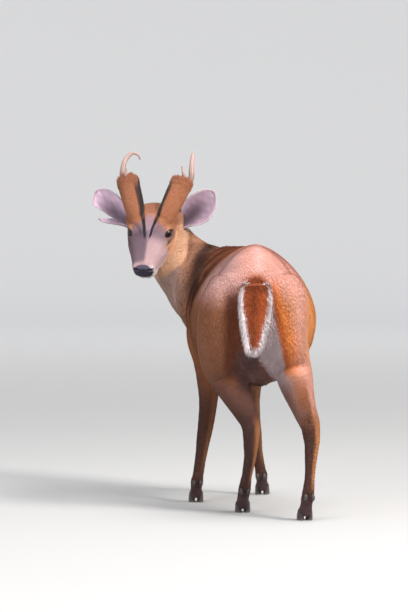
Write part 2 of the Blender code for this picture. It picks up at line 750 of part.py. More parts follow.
def cut_body(body, helpers):
    """Parts the body with thin plates and returns its named nodes."""
    plates = [plate(cut, helpers) for cut in CUTS]
    (inner, low), (outer, high) = HIP_CUT
    hip_middle, hip_half = (RUMP_FRONT + HIP_BACK) / 2, (RUMP_FRONT - HIP_BACK) / 2
    for sign in (1, -1):
        middle = (hip_middle, sign * (inner + outer) / 2, (low + high) / 2)
        normal = (0.0, sign * (high - low), -(outer - inner))
        reach = math.hypot(outer - inner, high - low) / 2
        plates.append(plate((middle, normal, (1, 0, 0), hip_half, reach), helpers))
    (inner, low), (outer, high) = SHOULDER_CUT
    along, across = unit(CHEST_ALONG), unit((-CHEST_ALONG[1], CHEST_ALONG[0], 0.0))
    start = np.array((*CHEST_AT[:2], (low + high) / 2)) + along * SHOULDER_LENGTH / 2
    for sign in (1, -1):
        middle = start + across * sign * (inner + outer) / 2
        normal = across * sign * (high - low) - np.array((0, 0, outer - inner))
        reach = math.hypot(outer - inner, high - low) / 2
        plates.append(plate((middle, normal, along, SHOULDER_LENGTH / 2, reach), helpers))
    boolean(body, "DIFFERENCE", plates)
    shells = [shell for shell in shells_of(body) if volume_of(*shell) > 1e-6]
    nodes = {}
    for shell in shells:
        middle = shell[0].mean(0)
        name = min(BODY_NODES, key=lambda n: np.linalg.norm(middle - np.array(BODY_NODES[n])))
        if name not in nodes:
            nodes[name] = finish_node(None, name, shell)
    bpy.data.objects.remove(body)
    return nodes


def add_node(name, obj, nodes, colour):
    nodes[name] = finish_node(obj, name, colour=colour)
    return nodes[name]


def seat(name, guests, nodes, helpers, colour="coat_red"):
    """Cuts a close-fitting socket for each guest in the named node."""
    cutters = [grown_copy(guest, helpers, by) for guest in guests for by in (GAP, GAP / 2)]
    boolean(nodes[name], "DIFFERENCE", cutters)
    nodes[name] = finish_node(nodes[name], name, colour=colour)


def almond(scale, count=22):
    """Outline between the lids as offsets along and across the eye, pointed at both corners."""
    angles = np.linspace(0, 2 * math.pi, count, endpoint=False)
    length = LID_HALF_LENGTH * scale * np.cos(angles)
    height = LID_HALF_HEIGHT * scale * np.sign(np.sin(angles)) * np.abs(np.sin(angles)) ** 1.25
    return length, height


def eye_directions(side):
    out = FRAME.turn(unit(sided(EYE_OUT, side)))
    level = unit(FRAME.forward - np.dot(FRAME.forward, out) * out)
    rise = unit(np.cross(out, level) * SIDES[side])
    if np.dot(rise, FRAME.up) < 0:
        rise = -rise
    along = math.cos(LID_TILT) * level + math.sin(LID_TILT) * rise
    upward = math.cos(LID_TILT) * rise - math.sin(LID_TILT) * level
    return out, along, upward


def make_eye(side, head, nodes, helpers):
    """Eyeball, the almond opening in front of it and a rim of lid that follows the brow."""
    out, along, upward = eye_directions(side)
    centre = FRAME.place(sided(EYE_AT, side))
    length, height = almond(1.0)
    flat = np.outer(length, along) + np.outer(height, upward)
    rings = [centre + flat + out * depth for depth in (0.0045, 0.030)]
    opening = loft("opening", rings, helpers)
    length, height = almond(1.12)
    rim = centre + np.outer(length, along) + np.outer(height, upward)
    ridge = []
    for point in rim:
        hit, spot, normal, _ = head.ray_cast(Vector(point + out * 0.04), Vector(-out))
        ridge.append(np.array(spot) if hit else point + out * EYE_RADIUS)
    ridge = np.array(ridge)
    ridge = 0.25 * np.roll(ridge, 1, 0) + 0.5 * ridge + 0.25 * np.roll(ridge, -1, 0)
    lid = ring_tube("lid", ridge, out, LID_RADIUS, helpers)
    boolean(head, "UNION", [lid])
    boolean(head, "DIFFERENCE", [opening])
    ball = ellipsoid("ball", centre, (EYE_RADIUS,) * 3, (along, upward, out), helpers, 16)
    add_node("eye_" + side, ball, nodes, "eye")


def ring_tube(name, points, out, radius, helpers, around=5):
    """Closed tube round a ring of points."""
    tangents = np.roll(points, -1, 0) - np.roll(points, 1, 0)
    angles = np.linspace(0, 2 * math.pi, around, endpoint=False)
    verts = []
    for point, tangent in zip(points, tangents):
        across = unit(np.cross(unit(tangent), out))
        verts += list(point + radius * (np.outer(np.cos(angles), across) + np.outer(np.sin(angles), out)))
    faces = []
    for i in range(len(points)):
        for j in range(around):
            near, far, k = i * around, ((i + 1) % len(points)) * around, (j + 1) % around
            faces.append((near + j, near + k, far + k, far + j))
    return new_object(name, verts, faces, helpers)


def on_head(head, point, side):
    """The spot on the head's skin that is straight out to one side of a point of the head frame."""
    start = FRAME.place((point[0], SIDES[side] * 0.08, point[2]))
    hit, spot, _, _ = head.ray_cast(Vector(start), Vector(FRAME.left * -SIDES[side]))
    return np.array(spot) if hit else FRAME.place(sided(point, side))


def cut_mouth(head, helpers):
    """Line of the mouth, nostrils and the slit of the gland before each eye."""
    rows = smooth_stations(MOUTH, 4)
    line = []
    for side in ("right", "left"):
        spots = [on_head(head, row, side) for row in rows[2:]]
        line = spots[::-1] + [FRAME.place(rows[0])] + line if side == "right" else line + spots
    line = np.array(line)
    middle = FRAME.place((0.140, 0.0, -0.0205))
    verts = []
    for spot in line:
        inward = middle - spot
        inward = unit(inward - np.dot(inward, FRAME.up) * FRAME.up)
        for depth in (-0.002, MOUTH_DEPTH):
            for rise in (-MOUTH_HEIGHT / 2, MOUTH_HEIGHT / 2):
                share = 1.0 if depth < 0 else 0.35
                verts.append(spot + inward * depth + FRAME.up * rise * share)
    faces = [(0, 2, 3, 1)]
    for i in range(len(line) - 1):
        near, far = 4 * i, 4 * i + 4
        for a, b in ((0, 1), (1, 3), (3, 2), (2, 0)):
            faces.append((near + a, near + b, far + b, far + a))
    end = 4 * (len(line) - 1)
    faces.append((end, end + 1, end + 3, end + 2))
    cutters = [new_object("mouth", verts, faces, helpers)]
    for side in SIDES:
        at = FRAME.place(sided(NOSTRIL_AT, side))
        cutters.append(ellipsoid("nostril", at, NOSTRIL_RADII, FRAME.axes, helpers, 8))
        at = FRAME.place(sided(GLAND_AT, side))
        slant = unit(FRAME.forward - 0.45 * FRAME.up)
        axes = (slant, FRAME.left, np.cross(slant, FRAME.left))
        cutters.append(ellipsoid("gland", at, GLAND_RADII, axes, helpers, 8))
    boolean(head, "DIFFERENCE", cutters)


def make_pedicle(side, nodes, helpers):
    foot = FRAME.place(sided(PEDICLE_FOOT, side))
    lean = FRAME.turn(unit(sided(PEDICLE_LEAN, side)))
    rows = [(*(foot + lean * along), radius, radius) for along, radius in PEDICLE]
    return add_node("pedicle_" + side, path_loft("p", rows, FRAME.left, helpers, 1, 16), nodes, "coat_red")


def make_antler(side, nodes, helpers):
    """Beam with its hook, and the brow tine seated in front of it."""
    lean = FRAME.turn(unit(sided(PEDICLE_LEAN, side)))
    inward = FRAME.left * -SIDES[side]
    top = FRAME.place(sided(PEDICLE_FOOT, side)) + lean * ANTLER_SEAT - inward * BEAM_OUTWARD[side]
    axes = np.array([(0.0, 0.0, 1.0), inward, -FRAME.heading])
    rows = [(*(top + np.array(row[:3]) @ axes), row[3], row[3]) for row in BEAMS[side]]
    beam = path_loft("b", rows, FRAME.heading, helpers, 2, 10)
    rows = [(*(top + np.array(row) @ axes), r, r) for row, r in zip(TINES[side], TINE_RADII)]
    tine = path_loft("t", rows, FRAME.left, helpers, 2, 8)
    tine = add_node("brow_tine_" + side, tine, nodes, "antler")
    add_node("antler_beam_" + side, beam, nodes, "antler")
    seat("antler_beam_" + side, [tine], nodes, helpers, "antler")
    return [nodes["antler_beam_" + side], tine]


def make_ear(side, nodes, helpers):
    """Leaf-shaped cup with a solid bulb at its foot."""
    lean = FRAME.turn(unit(sided(EAR_LEANS[side], side)))
    opening = FRAME.turn(unit(EAR_OPENING))
    opening = unit(opening - np.dot(opening, lean) * lean)
    across = np.cross(lean, opening)
    foot = FRAME.place(sided(EAR_FOOT, side))
    rows = smooth_stations(EAR_ROWS, 1)
    spread = np.linspace(-1, 1, 11)
    front, back = [], []
    for share, half, degrees in rows:
        angle = math.radians(degrees)
        radius = half / angle
        turn = angle * spread
        base = foot + lean * EAR_LENGTH * share
        base = base + across * EAR_BOWS[side] * math.sin(math.pi * share)
        point = base + np.outer(radius * np.sin(turn), across)
        point += np.outer(radius * (1 - np.cos(turn)), opening)
        outward = np.outer(np.sin(turn), across) - np.outer(np.cos(turn), opening)
        wall = EAR_WALL * (1 - 0.62 * np.abs(spread) ** 3) * (1 - 0.45 * share)
        front.append(point)
        back.append(point + outward * wall[:, None])
    count, wide = len(front), len(spread)
    verts = list(np.concatenate(front)) + list(np.concatenate(back))
    offset = count * wide
    faces = []
    for i in range(count - 1):
        for j in range(wide - 1):
            a = i * wide + j
            faces.append((a, a + 1, a + wide + 1, a + wide))
            b = offset + a
            faces.append((b, b + wide, b + wide + 1, b + 1))
    rim = [j for j in range(wide)]
    rim += [i * wide + wide - 1 for i in range(1, count)]
    rim += [(count - 1) * wide + j for j in range(wide - 2, -1, -1)]
    rim += [i * wide for i in range(count - 2, 0, -1)]
    for a, b in zip(rim, rim[1:] + rim[:1]):
        faces.append((a, b, offset + b, offset + a))
    ear = new_object("e", verts, faces, helpers)
    bulb_at = foot + lean * EAR_BULB_AT[0] + opening * EAR_BULB_AT[1]
    bulb = ellipsoid("bulb", bulb_at, EAR_BULB, (lean, across, opening), helpers, 12)
    boolean(ear, "UNION", [bulb])
    if side == "right":
        boolean(ear, "DIFFERENCE", [ear_tear(foot, lean, across, opening, helpers)])
    return add_node("ear_" + side, ear, nodes, "ear_skin")


def ear_tear(foot, lean, across, opening, helpers):
    """Wedge that splits a strip off the lower edge of the ear."""
    mouth = foot + lean * EAR_LENGTH * TEAR_MOUTH[0] + across * TEAR_MOUTH[1]
    end = foot + lean * EAR_LENGTH * TEAR_END[0] + across * TEAR_END[1]
    inward = unit(end - mouth)
    side = np.cross(inward, opening)
    corners = [mouth - inward * 0.012 + side * TEAR_WIDTH, mouth - inward * 0.012 - side * TEAR_WIDTH, end]
    verts = [corner + opening * depth for depth in (-0.03, 0.05) for corner in corners]
    faces = [(0, 1, 2), (5, 4, 3), (0, 3, 4, 1), (1, 4, 5, 2), (2, 5, 3, 0)]
    return new_object("tear", verts, faces, helpers)


def claw_rings(at, heading, across, sign):
    """Half of a cloven hoof: a flat sole, blunt heel and a toe that points forward."""
    angles = np.linspace(0, 2 * math.pi, 12, endpoint=False)
    rings = []
    for height, length, width, setback in CLAW:
        along = length / 2 * np.cos(angles)
        taper = 1 - 0.55 * np.clip(np.cos(angles), 0, 1) ** 2
        side = width / 2 * np.sin(angles) * taper
        side = side + sign * CLAW_HEEL_SPLAY * (1 - np.clip(np.cos(angles), 0, 1))
        middle = np.array([*at[:2], height]) + heading * -setback
        rings.append(middle + np.outer(along, heading) + np.outer(side, across))
    return rings


def make_foot(leg, nodes, helpers):
    """Two claws under the cannon and two dewclaws behind the fetlock."""
    rows = np.array(LEGS[leg])
    end, fetlock = rows[-1, :3], rows[-1 - FETLOCK_FROM_END, :3]
    step = end - rows[-2, :3]
    heading = unit((step[0], step[1], 0.0))
    across = np.array([-heading[1], heading[0], 0.0])
    made = []
    for name, sign in (("left", 1), ("right", -1)):
        toe = unit(heading * math.cos(CLAW_TOE_OUT) + across * sign * math.sin(CLAW_TOE_OUT))
        toe_side = np.array([-toe[1], toe[0], 0.0])
        at = end + heading * CLAW_ADVANCE + across * sign * CLAW_APART / 2
        rings = claw_rings(at, toe, toe_side, sign)
        made.append(add_node(f"{leg}_claw_{name}", loft("c", rings, helpers), nodes, "horn"))
    for name, sign in (("left", 1), ("right", -1)):
        at = fetlock - heading * DEWCLAW_BACK + across * sign * DEWCLAW_APART / 2
        at = at - np.array([0, 0, 0.004])
        axes = (heading, across, (0, 0, 1))
        dew = ellipsoid("d", at, DEWCLAW_RADII, axes, helpers, 8)
        made.append(add_node(f"{leg}_dewclaw_{name}", dew, nodes, "horn"))
    return made


def main():
    clear_scene()
    helpers = collection_named("muntjac_cutters")
    collection_named("muntjac")
    nodes = cut_body(fused_body(helpers), helpers)
    head = nodes["head"]
    for side in SIDES:
        make_eye(side, head, nodes, helpers)
    cut_mouth(head, helpers)
    guests = [nodes["eye_left"], nodes["eye_right"]]
    for side in SIDES:
        guests.append(make_pedicle(side, nodes, helpers))
        guests.append(make_ear(side, nodes, helpers))
    seat("head", guests, nodes, helpers)
    for side in SIDES:
        seat("pedicle_" + side, make_antler(side, nodes, helpers), nodes, helpers)
    tail = path_loft("tail_core", TAIL, (0, 1, 0), helpers, 2, 18)
    seat("torso_rump", [add_node("tail", tail, nodes, "coat_red")], nodes, helpers)
    for leg in LEGS:
        seat(leg + "_cannon", make_foot(leg, nodes, helpers), nodes, helpers, "coat_dark")
    for obj in nodes.values():
        obj.data.transform(Matrix.Translation(STANCE_SHIFT))
    for obj in list(helpers.objects):
        bpy.data.objects.remove(obj)


if __name__ == "__main__":
    main()
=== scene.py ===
"""Finish of the life-size muntjac: skin, coat, lids, eyes, ears, antlers and hooves.

Metres, +Z up, +X forward along the pelvis, +Y the animal's left. Tables are given in the stance's
own frame and moved by SHIFT, so that the middle of the footprint box is the origin.
"""

import logging
import math
from dataclasses import dataclass, field
from enum import Enum

import bmesh
import bpy
import numpy as np
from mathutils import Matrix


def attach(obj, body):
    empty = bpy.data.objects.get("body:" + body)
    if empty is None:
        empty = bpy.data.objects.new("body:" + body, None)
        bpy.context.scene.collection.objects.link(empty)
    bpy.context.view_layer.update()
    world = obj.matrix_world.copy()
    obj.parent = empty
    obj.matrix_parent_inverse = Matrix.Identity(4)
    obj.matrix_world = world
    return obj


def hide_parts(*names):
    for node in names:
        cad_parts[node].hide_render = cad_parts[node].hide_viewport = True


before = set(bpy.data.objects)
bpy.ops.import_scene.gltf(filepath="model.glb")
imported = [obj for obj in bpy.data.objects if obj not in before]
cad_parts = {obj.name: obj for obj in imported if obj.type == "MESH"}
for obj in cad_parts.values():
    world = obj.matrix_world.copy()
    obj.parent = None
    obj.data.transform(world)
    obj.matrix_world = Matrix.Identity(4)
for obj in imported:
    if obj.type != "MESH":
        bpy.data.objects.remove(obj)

Array = np.ndarray
Row = tuple[float, ...]
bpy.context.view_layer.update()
SHIFT = np.array((-0.2937, -0.1145, 0.0))
log = logging.getLogger("muntjac")


class Side(Enum):
    """The animal's own left and right."""

    LEFT = 1
    RIGHT = -1

    @property
    def word(self) -> str:
        """The side's name as the nodes spell it."""
        return self.name.lower()


# Sums on whole arrays.


def unit(vectors: Array) -> Array:
    """Vectors scaled to length 1 along their last axis."""
    vectors = np.asarray(vectors, float)
    return vectors / np.maximum(np.linalg.norm(vectors, axis=-1, keepdims=True), 1e-12)


def ease(low: float, high: float, value: Array) -> Array:
    """0 at low, 1 at high, with a smooth step between; high may be the smaller one."""
    share = np.clip((np.asarray(value, float) - low) / (high - low), 0.0, 1.0)
    return share * share * (3.0 - 2.0 * share)


def bell(value: Array, centre: float, width: float) -> Array:
    """Bell curve of height 1 round centre."""
    return np.exp(-(((np.asarray(value, float) - centre) / width) ** 2))


def dot(a: Array, b: Array) -> Array:
    """Row by row dot product."""
    return np.sum(np.asarray(a) * np.asarray(b), axis=-1)


def smooth_rows(rows: Array, per_span: int) -> Array:
    """Catmull-Rom curve through the rows.

    Args:
        rows: One station a row.
        per_span: Steps between two stations.

    Returns:
        The finer rows, the last station included.
    """
    rows = np.asarray(rows, float)
    padded = np.vstack([2 * rows[0] - rows[1], rows, 2 * rows[-1] - rows[-2]])
    a, b, c, d = (padded[k : len(padded) - 3 + k, None, :] for k in range(4))
    t = (np.arange(per_span) / per_span)[None, :, None]
    curve = 2 * b + (c - a) * t + (2 * a - 5 * b + 4 * c - d) * t**2 + (3 * b - a - 3 * c + d) * t**3
    return np.vstack([0.5 * curve.reshape(-1, rows.shape[1]), rows[-1]])


def noise(points: Array, size: float, seed: int) -> Array:
    """Smooth pattern between -1 and 1: a sum of sines along seeded directions, each about size long."""
    rng = np.random.default_rng(seed)
    total = np.zeros(len(points))
    for turn in unit(rng.normal(size=(7, 3))):
        total += np.sin(points @ turn * (2 * math.pi / size) * rng.uniform(0.6, 1.6) + rng.uniform(0, 6.3))
    return total / 3.5


# Meshes from arrays.


def tube_faces(rows: int, around: int) -> Array:
    """Triangles of a closed tube whose points are a pole, rows rings of around points, and a pole."""
    start = np.arange(rows - 1)[:, None] * around
    j = np.arange(around)
    k = (j + 1) % around
    a, b, c, d = start + j, start + k, start + around + k, start + around + j
    wall = [np.stack([a, b, c], -1).reshape(-1, 3), np.stack([a, c, d], -1).reshape(-1, 3)]
    last = (rows - 1) * around
    first_fan = np.stack([np.full(around, -1), k, j], -1)
    last_fan = np.stack([last + j, last + k, np.full(around, rows * around)], -1)
    return np.concatenate([*wall, first_fan, last_fan]) + 1


def close_tube(rings: Array) -> tuple[Array, Array]:
    """Points and triangles of rings (rows, around, 3) with the middle of each end ring as its pole."""
    rows, around = rings.shape[:2]
    points = np.vstack([rings[0].mean(0), rings.reshape(-1, 3), rings[-1].mean(0)])
    return points, tube_faces(rows, around)


def tube(rows: Array, across: Array, per_span: int, around: int) -> tuple[Array, Array]:
    """Ellipse carried along a path: centre + r1 cos(a) across + r2 sin(a) square to both.

    Args:
        rows: Stations of centre, radius toward across, and radius square to it.
        across: Direction of the first radius.
        per_span: Steps between two stations.
        around: Points round the ellipse.

    Returns:
        Points and triangles.
    """
    rows = smooth_rows(rows, per_span)
    tangents = unit(np.gradient(rows[:, :3], axis=0))
    first = unit(np.asarray(across) - tangents * dot(tangents, across)[:, None])
    second = np.cross(tangents, first)
    angle = np.linspace(0, 2 * math.pi, around, endpoint=False)[None, :, None]
    rings = rows[:, None, :3] + np.cos(angle) * first[:, None] * rows[:, None, 3:4]
    return close_tube(rings + np.sin(angle) * second[:, None] * rows[:, None, 4:5])


def ball(centre: Array, radii: Row, axes: Array, rows: int = 20, around: int = 32) -> tuple[Array, Array]:
    """Ellipsoid: centre + r1 cos(p) axis1 + r2 sin(p) cos(a) axis2 + r3 sin(p) sin(a) axis3."""
    polar = np.linspace(0, math.pi, rows + 2)[1:-1, None]
    angle = np.linspace(0, 2 * math.pi, around, endpoint=False)[None, :]
    rim = np.sin(polar)
    local = np.stack(np.broadcast_arrays(np.cos(polar), rim * np.cos(angle), rim * np.sin(angle)), -1)
    points, faces = close_tube(np.asarray(centre) + (local * radii) @ np.asarray(axes))
    points[[0, -1]] = np.asarray(centre) + np.outer((1, -1), np.asarray(axes)[0]) * radii[0]
    return points, faces


def link_mesh(name: str, mesh: bpy.types.Mesh) -> bpy.types.Object:
    """An object of the mesh, at the origin of the scene."""
    piece = bpy.data.objects.new(name, mesh)
    bpy.context.scene.collection.objects.link(piece)
    return piece


def make_piece(name: str, points: Array, faces: Array, mend: bool = True) -> bpy.types.Object:
    """A smooth-shaded mesh object at the origin.

    Args:
        name: Name of the piece.
        points: One point a row.
        faces: Triangles or quads, one a row.
        mend: Whether the normals are turned outward.

    Returns:
        The object, linked to the scene.
    """
    mesh = bpy.data.meshes.new(name)
    mesh.vertices.add(len(points))
    mesh.vertices.foreach_set("co", np.asarray(points, np.float32).ravel())
    mesh.loops.add(faces.size)
    mesh.loops.foreach_set("vertex_index", np.asarray(faces, np.int32).ravel())
    mesh.polygons.add(len(faces))
    mesh.polygons.foreach_set("loop_start", np.arange(0, faces.size, faces.shape[1], dtype=np.int32))
    mesh.polygons.foreach_set("use_smooth", np.ones(len(faces), bool))
    mesh.update(calc_edges=True)
    if mend:
        bm = bmesh.new()
        bm.from_mesh(mesh)
        bmesh.ops.recalc_face_normals(bm, faces=bm.faces)
        if bm.calc_volume(signed=True) < 0:
            bmesh.ops.reverse_faces(bm, faces=bm.faces)
        bm.to_mesh(mesh)
        bm.free()
    return link_mesh(name, mesh)


def points_of(piece: bpy.types.Object, what: str = "co") -> Array:
    """The piece's points, or their normals, as an array."""
    out = np.empty(len(piece.data.vertices) * 3, np.float32)
    piece.data.vertices.foreach_get(what, out)
    return out.reshape(-1, 3).astype(float)


def set_points(piece: bpy.types.Object, points: Array) -> None:
    """Moves the piece's points."""
    piece.data.vertices.foreach_set("co", np.asarray(points, np.float32).ravel())
    piece.data.update()


def faces_of(piece: bpy.types.Object) -> Array:
    """The piece's triangles."""
    mesh = piece.data
    mesh.calc_loop_triangles()
    out = np.empty(len(mesh.loop_triangles) * 3, np.int32)
    mesh.loop_triangles.foreach_get("vertices", out)
    return out.reshape(-1, 3)


def set_tint(piece: bpy.types.Object, colours: Array) -> None:
    """Keeps a linear colour at each point, in the attribute that the finishes read."""
    tint = piece.data.color_attributes.new("tint", "FLOAT_COLOR", "POINT")
    full = np.ones((len(colours), 4), np.float32)
    full[:, :3] = np.clip(colours, 0, 1)
    tint.data.foreach_set("color", full.ravel())


def apply_modifiers(piece: bpy.types.Object) -> None:
    """Replaces the piece's mesh by what its modifiers make of it."""
    graph = bpy.context.evaluated_depsgraph_get()
    mesh = bpy.data.meshes.new_from_object(piece.evaluated_get(graph), depsgraph=graph)
    old = piece.data
    piece.modifiers.clear()
    piece.data = mesh
    bpy.data.meshes.remove(old)


def plain(shade: Row, count: int) -> Array:
    """One colour for each of count points."""
    return np.tile(np.array(shade), (count, 1))


def mix(colours: Array, shade: Row, mask: Array) -> Array:
    """Colours moved toward shade by the mask."""
    mask = np.clip(mask, 0, 1)[:, None]
    return colours * (1 - mask) + np.asarray(shade) * mask


# Finishes.


def add_node(
    tree: bpy.types.NodeTree, kind: str, values: dict, wires: dict | None = None, operation: str = ""
) -> bpy.types.Node:
    """Adds a shader node.

    Args:
        tree: Where it goes.
        kind: Its type, without the common first word.
        values: Plain values of its inputs.
        wires: Outputs of other nodes that feed its inputs.
        operation: What a node of sums does.

    Returns:
        The node.
    """
    node = tree.nodes.new("ShaderNode" + kind)
    if operation:
        node.operation = operation
    for key, value in values.items():
        node.inputs[key].default_value = value
    for key, output in (wires or {}).items():
        tree.links.new(output, node.inputs[key])
    return node


def tint_output(tree: bpy.types.NodeTree) -> bpy.types.NodeSocket:
    """The colour kept at each point by set_tint."""
    node = add_node(tree, "Attribute", {})
    node.attribute_name = "tint"
    return node.outputs["Color"]


@dataclass(frozen=True)
class Finish:
    """A surface whose colour is the piece's tint, broken up by a fine pattern."""

    name: str
    slot: str
    roughness: float = 0.6
    specular: float = 0.3
    sheen: float = 0.0
    coat: float = 0.0
    grain: float = 900.0
    grain_depth: float = 0.0004
    mottle: float = 0.25

    def material(self) -> bpy.types.Material:
        """Noise in Object coordinates darkens and lightens the tint, sways the roughness and lifts a bump."""
        made = bpy.data.materials.get(self.name)
        if made:
            return made
        made = bpy.data.materials.new(self.name)
        made.use_nodes = True
        tree = made.node_tree
        place = {"Vector": add_node(tree, "TexCoord", {}).outputs["Object"]}
        tint = tint_output(tree)
        fine = add_node(tree, "TexNoise", {"Scale": self.grain, "Detail": 3.0}, place).outputs["Fac"]
        broad = add_node(tree, "TexNoise", {"Scale": self.grain / 14, "Detail": 4.0}, place).outputs["Fac"]
        half = add_node(tree, "Math", {1: 0.5}, {0: fine}, "MULTIPLY").outputs[0]
        both = add_node(tree, "Math", {1: 0.5}, {0: broad, 2: half}, "MULTIPLY_ADD").outputs[0]
        ends = {"To Min": 1.0 - self.mottle, "To Max": 1.0 + self.mottle}
        level = add_node(tree, "MapRange", ends, {"Value": both}).outputs["Result"]
        colour = add_node(tree, "VectorMath", {}, {0: tint, "Scale": level}, "SCALE")
        sway = 0.12
        ends = {"To Min": max(0.02, self.roughness - sway), "To Max": min(1.0, self.roughness + sway)}
        rough = add_node(tree, "MapRange", ends, {"Value": broad})
        relief = add_node(tree, "Bump", {"Strength": 0.6, "Distance": self.grain_depth}, {"Height": fine})
        shader = tree.nodes["Principled BSDF"]
        shader.inputs["Specular IOR Level"].default_value = self.specular
        shader.inputs["Sheen Weight"].default_value = self.sheen
        shader.inputs["Coat Weight"].default_value = self.coat
        tree.links.new(colour.outputs["Vector"], shader.inputs["Base Color"])
        tree.links.new(rough.outputs["Result"], shader.inputs["Roughness"])
        tree.links.new(relief.outputs["Normal"], shader.inputs["Normal"])
        return made

    def dress(self, piece: bpy.types.Object, *nodes: str) -> bpy.types.Object:
        """Gives the piece this finish, lets it ride on the body and stand for the named nodes."""
        piece.data.materials.clear()
        piece.data.materials.append(self.material())
        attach(piece, "root")
        if nodes:
            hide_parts(*nodes)
        log.info("%s: %d faces", piece.name, len(piece.data.polygons))
        return piece


HAIR_GRAIN = {"grain": 500, "grain_depth": 0.0001, "mottle": 0.12}
HAIR_SHINE = {"roughness": 0.55, "specular": 0.22, "sheen": 0.03}
HIDE = Finish("muntjac_skin", "coat_red", roughness=0.72, specular=0.2, grain=700, grain_depth=0.0006)
HAIR = Finish("muntjac_hair", "coat_red", **HAIR_SHINE, **HAIR_GRAIN)
DARK_HAIR = Finish("muntjac_leg_hair", "coat_dark", **HAIR_SHINE, **HAIR_GRAIN)
EAR_SKIN = Finish("muntjac_ear_skin", "ear_skin", roughness=0.55, grain=600, grain_depth=0.0003)
WET = Finish("muntjac_eye", "eye", roughness=0.12, coat=0.45, grain=1500, grain_depth=0.00002, mottle=0.1)
ANTLER = Finish(
    "muntjac_antler", "antler", roughness=0.42, specular=0.4, grain=700, grain_depth=0.0005, mottle=0.3)
HORN = Finish("muntjac_hoof", "horn", roughness=0.4, specular=0.45, grain=600, grain_depth=0.0003, mottle=0.3)


@dataclass(frozen=True)
class Palette:
    """Colours of the coat and of the bare parts, linear; several also stand in for painted light and shade.
    """

    red: Row = (0.42, 0.145, 0.050)
    # Orange: on the right flank partly golden coat, partly painted sunlight; on the cheeks the coat's own
    # spots.
    flank: Row = (0.80, 0.330, 0.090)
    # Painted sheen: pink and mauve for the sky's reflection on the rump; the pink also paints highlights on
    # the right thigh and hind leg.
    rump: Row = (0.82, 0.420, 0.350)
    mauve: Row = (0.58, 0.350, 0.330)
    # Painted highlight along the top of the rump.
    spine: Row = (0.90, 0.600, 0.560)
    orange: Row = (0.86, 0.260, 0.060)
    rust: Row = (0.50, 0.100, 0.022)
    chestnut: Row = (0.124, 0.025, 0.008)
    # Dark brown: painted shade on the lower left side of the body, and the painted lit crest among the neck's
    # darker folds.
    thigh: Row = (0.30, 0.115, 0.058)
    neck: Row = (0.46, 0.235, 0.150)
    # Very dark brown: darker nape coat deepened by painted shade in the neck's fold.
    nape: Row = (0.034, 0.013, 0.009)
    shank: Row = (0.215, 0.076, 0.036)
    leg: Row = (0.062, 0.024, 0.018)
    # Painted sunlight: orange on the right-facing sides of the lower legs.
    edge: Row = (0.66, 0.260, 0.090)
    white: Row = (0.86, 0.80, 0.83)
    # Pale coat of the inner thighs and belly, greyed by painted shade.
    inner: Row = (0.54, 0.42, 0.44)
    throat: Row = (0.58, 0.400, 0.350)
    # Fawn coat brightened by painted light.
    collar: Row = (0.84, 0.500, 0.320)
    # Dark grey-brown: partly the groin's own dark skin, partly painted shade between and inside the hind
    # legs.
    groin: Row = (0.120, 0.064, 0.062)
    stripe: Row = (0.012, 0.007, 0.011)
    forehead: Row = (0.36, 0.240, 0.300)
    brow: Row = (0.225, 0.150, 0.185)
    grey: Row = (0.112, 0.070, 0.102)
    bridge: Row = (0.49, 0.330, 0.340)
    cheek: Row = (0.66, 0.340, 0.180)
    poll: Row = (0.34, 0.130, 0.065)
    pad: Row = (0.036, 0.029, 0.048)
    # Painted sheen on the top of the nose pad.
    pad_sheen: Row = (0.100, 0.088, 0.130)
    ear_inside: Row = (0.62, 0.440, 0.560)
    ear_back: Row = (0.20, 0.100, 0.070)
    ear_edge: Row = (0.72, 0.60, 0.66)


PALETTE = Palette()


# The frame of the head and the lines that the body follows.


@dataclass(frozen=True)
class HeadFrame:
    """Places points given as distance along the head's axis, to its left and above it."""

    at: Row = (0.612, 0.2235, 0.6445)
    yaw: float = math.radians(170)
    pitch: float = math.radians(-41)
    roll: float = math.radians(2.4)

    @property
    def axes(self) -> Array:
        """Rows are the head's forward, left and up directions."""
        heading = np.array([math.cos(self.yaw), math.sin(self.yaw), 0.0])
        level = np.array([0.0, 0.0, 1.0])
        forward = math.cos(self.pitch) * heading + math.sin(self.pitch) * level
        up = math.cos(self.pitch) * level - math.sin(self.pitch) * heading
        left = np.cross(up, forward)
        turned_up = math.cos(self.roll) * up + math.sin(self.roll) * left
        return np.array([forward, math.cos(self.roll) * left - math.sin(self.roll) * up, turned_up])

    @property
    def heading(self) -> Array:
        """Level direction in which the head looks."""
        return np.array([math.cos(self.yaw), math.sin(self.yaw), 0.0])

    def place(self, local: Array) -> Array:
        """Points of the head in the scene."""
        return np.asarray(self.at) + SHIFT + np.asarray(local, float) @ self.axes

    def turn(self, local: Array) -> Array:
        """Directions of the head in the scene."""
        return np.asarray(local, float) @ self.axes

    def local(self, points: Array) -> Array:
        """Scene points in the head's own measures."""
        return (np.asarray(points) - SHIFT - np.asarray(self.at)) @ self.axes.T


HEAD = HeadFrame()


def nose_pad(head: Array) -> Array:
    """1 on the border of the bare pad of the nose, less inside it."""
    f, l, u = head.T
    half = np.where(l > 0, 0.0215, 0.0255)
    return np.sqrt(((f - 0.192) / 0.0175) ** 2 + (l / half) ** 2 + ((u + 0.0065) / 0.0185) ** 2)


def sided(local: Row, side: Side) -> Array:
    """A point of the left side of the head, moved to the named side."""
    return np.array([local[0], side.value * local[1], local[2]])


@dataclass(frozen=True)
class Measure:
    """Where points lie along one line of the body."""

    share: Array
    along: Array
    angle: Array
    sideways: Array
    tangent: Array
    radius: Array


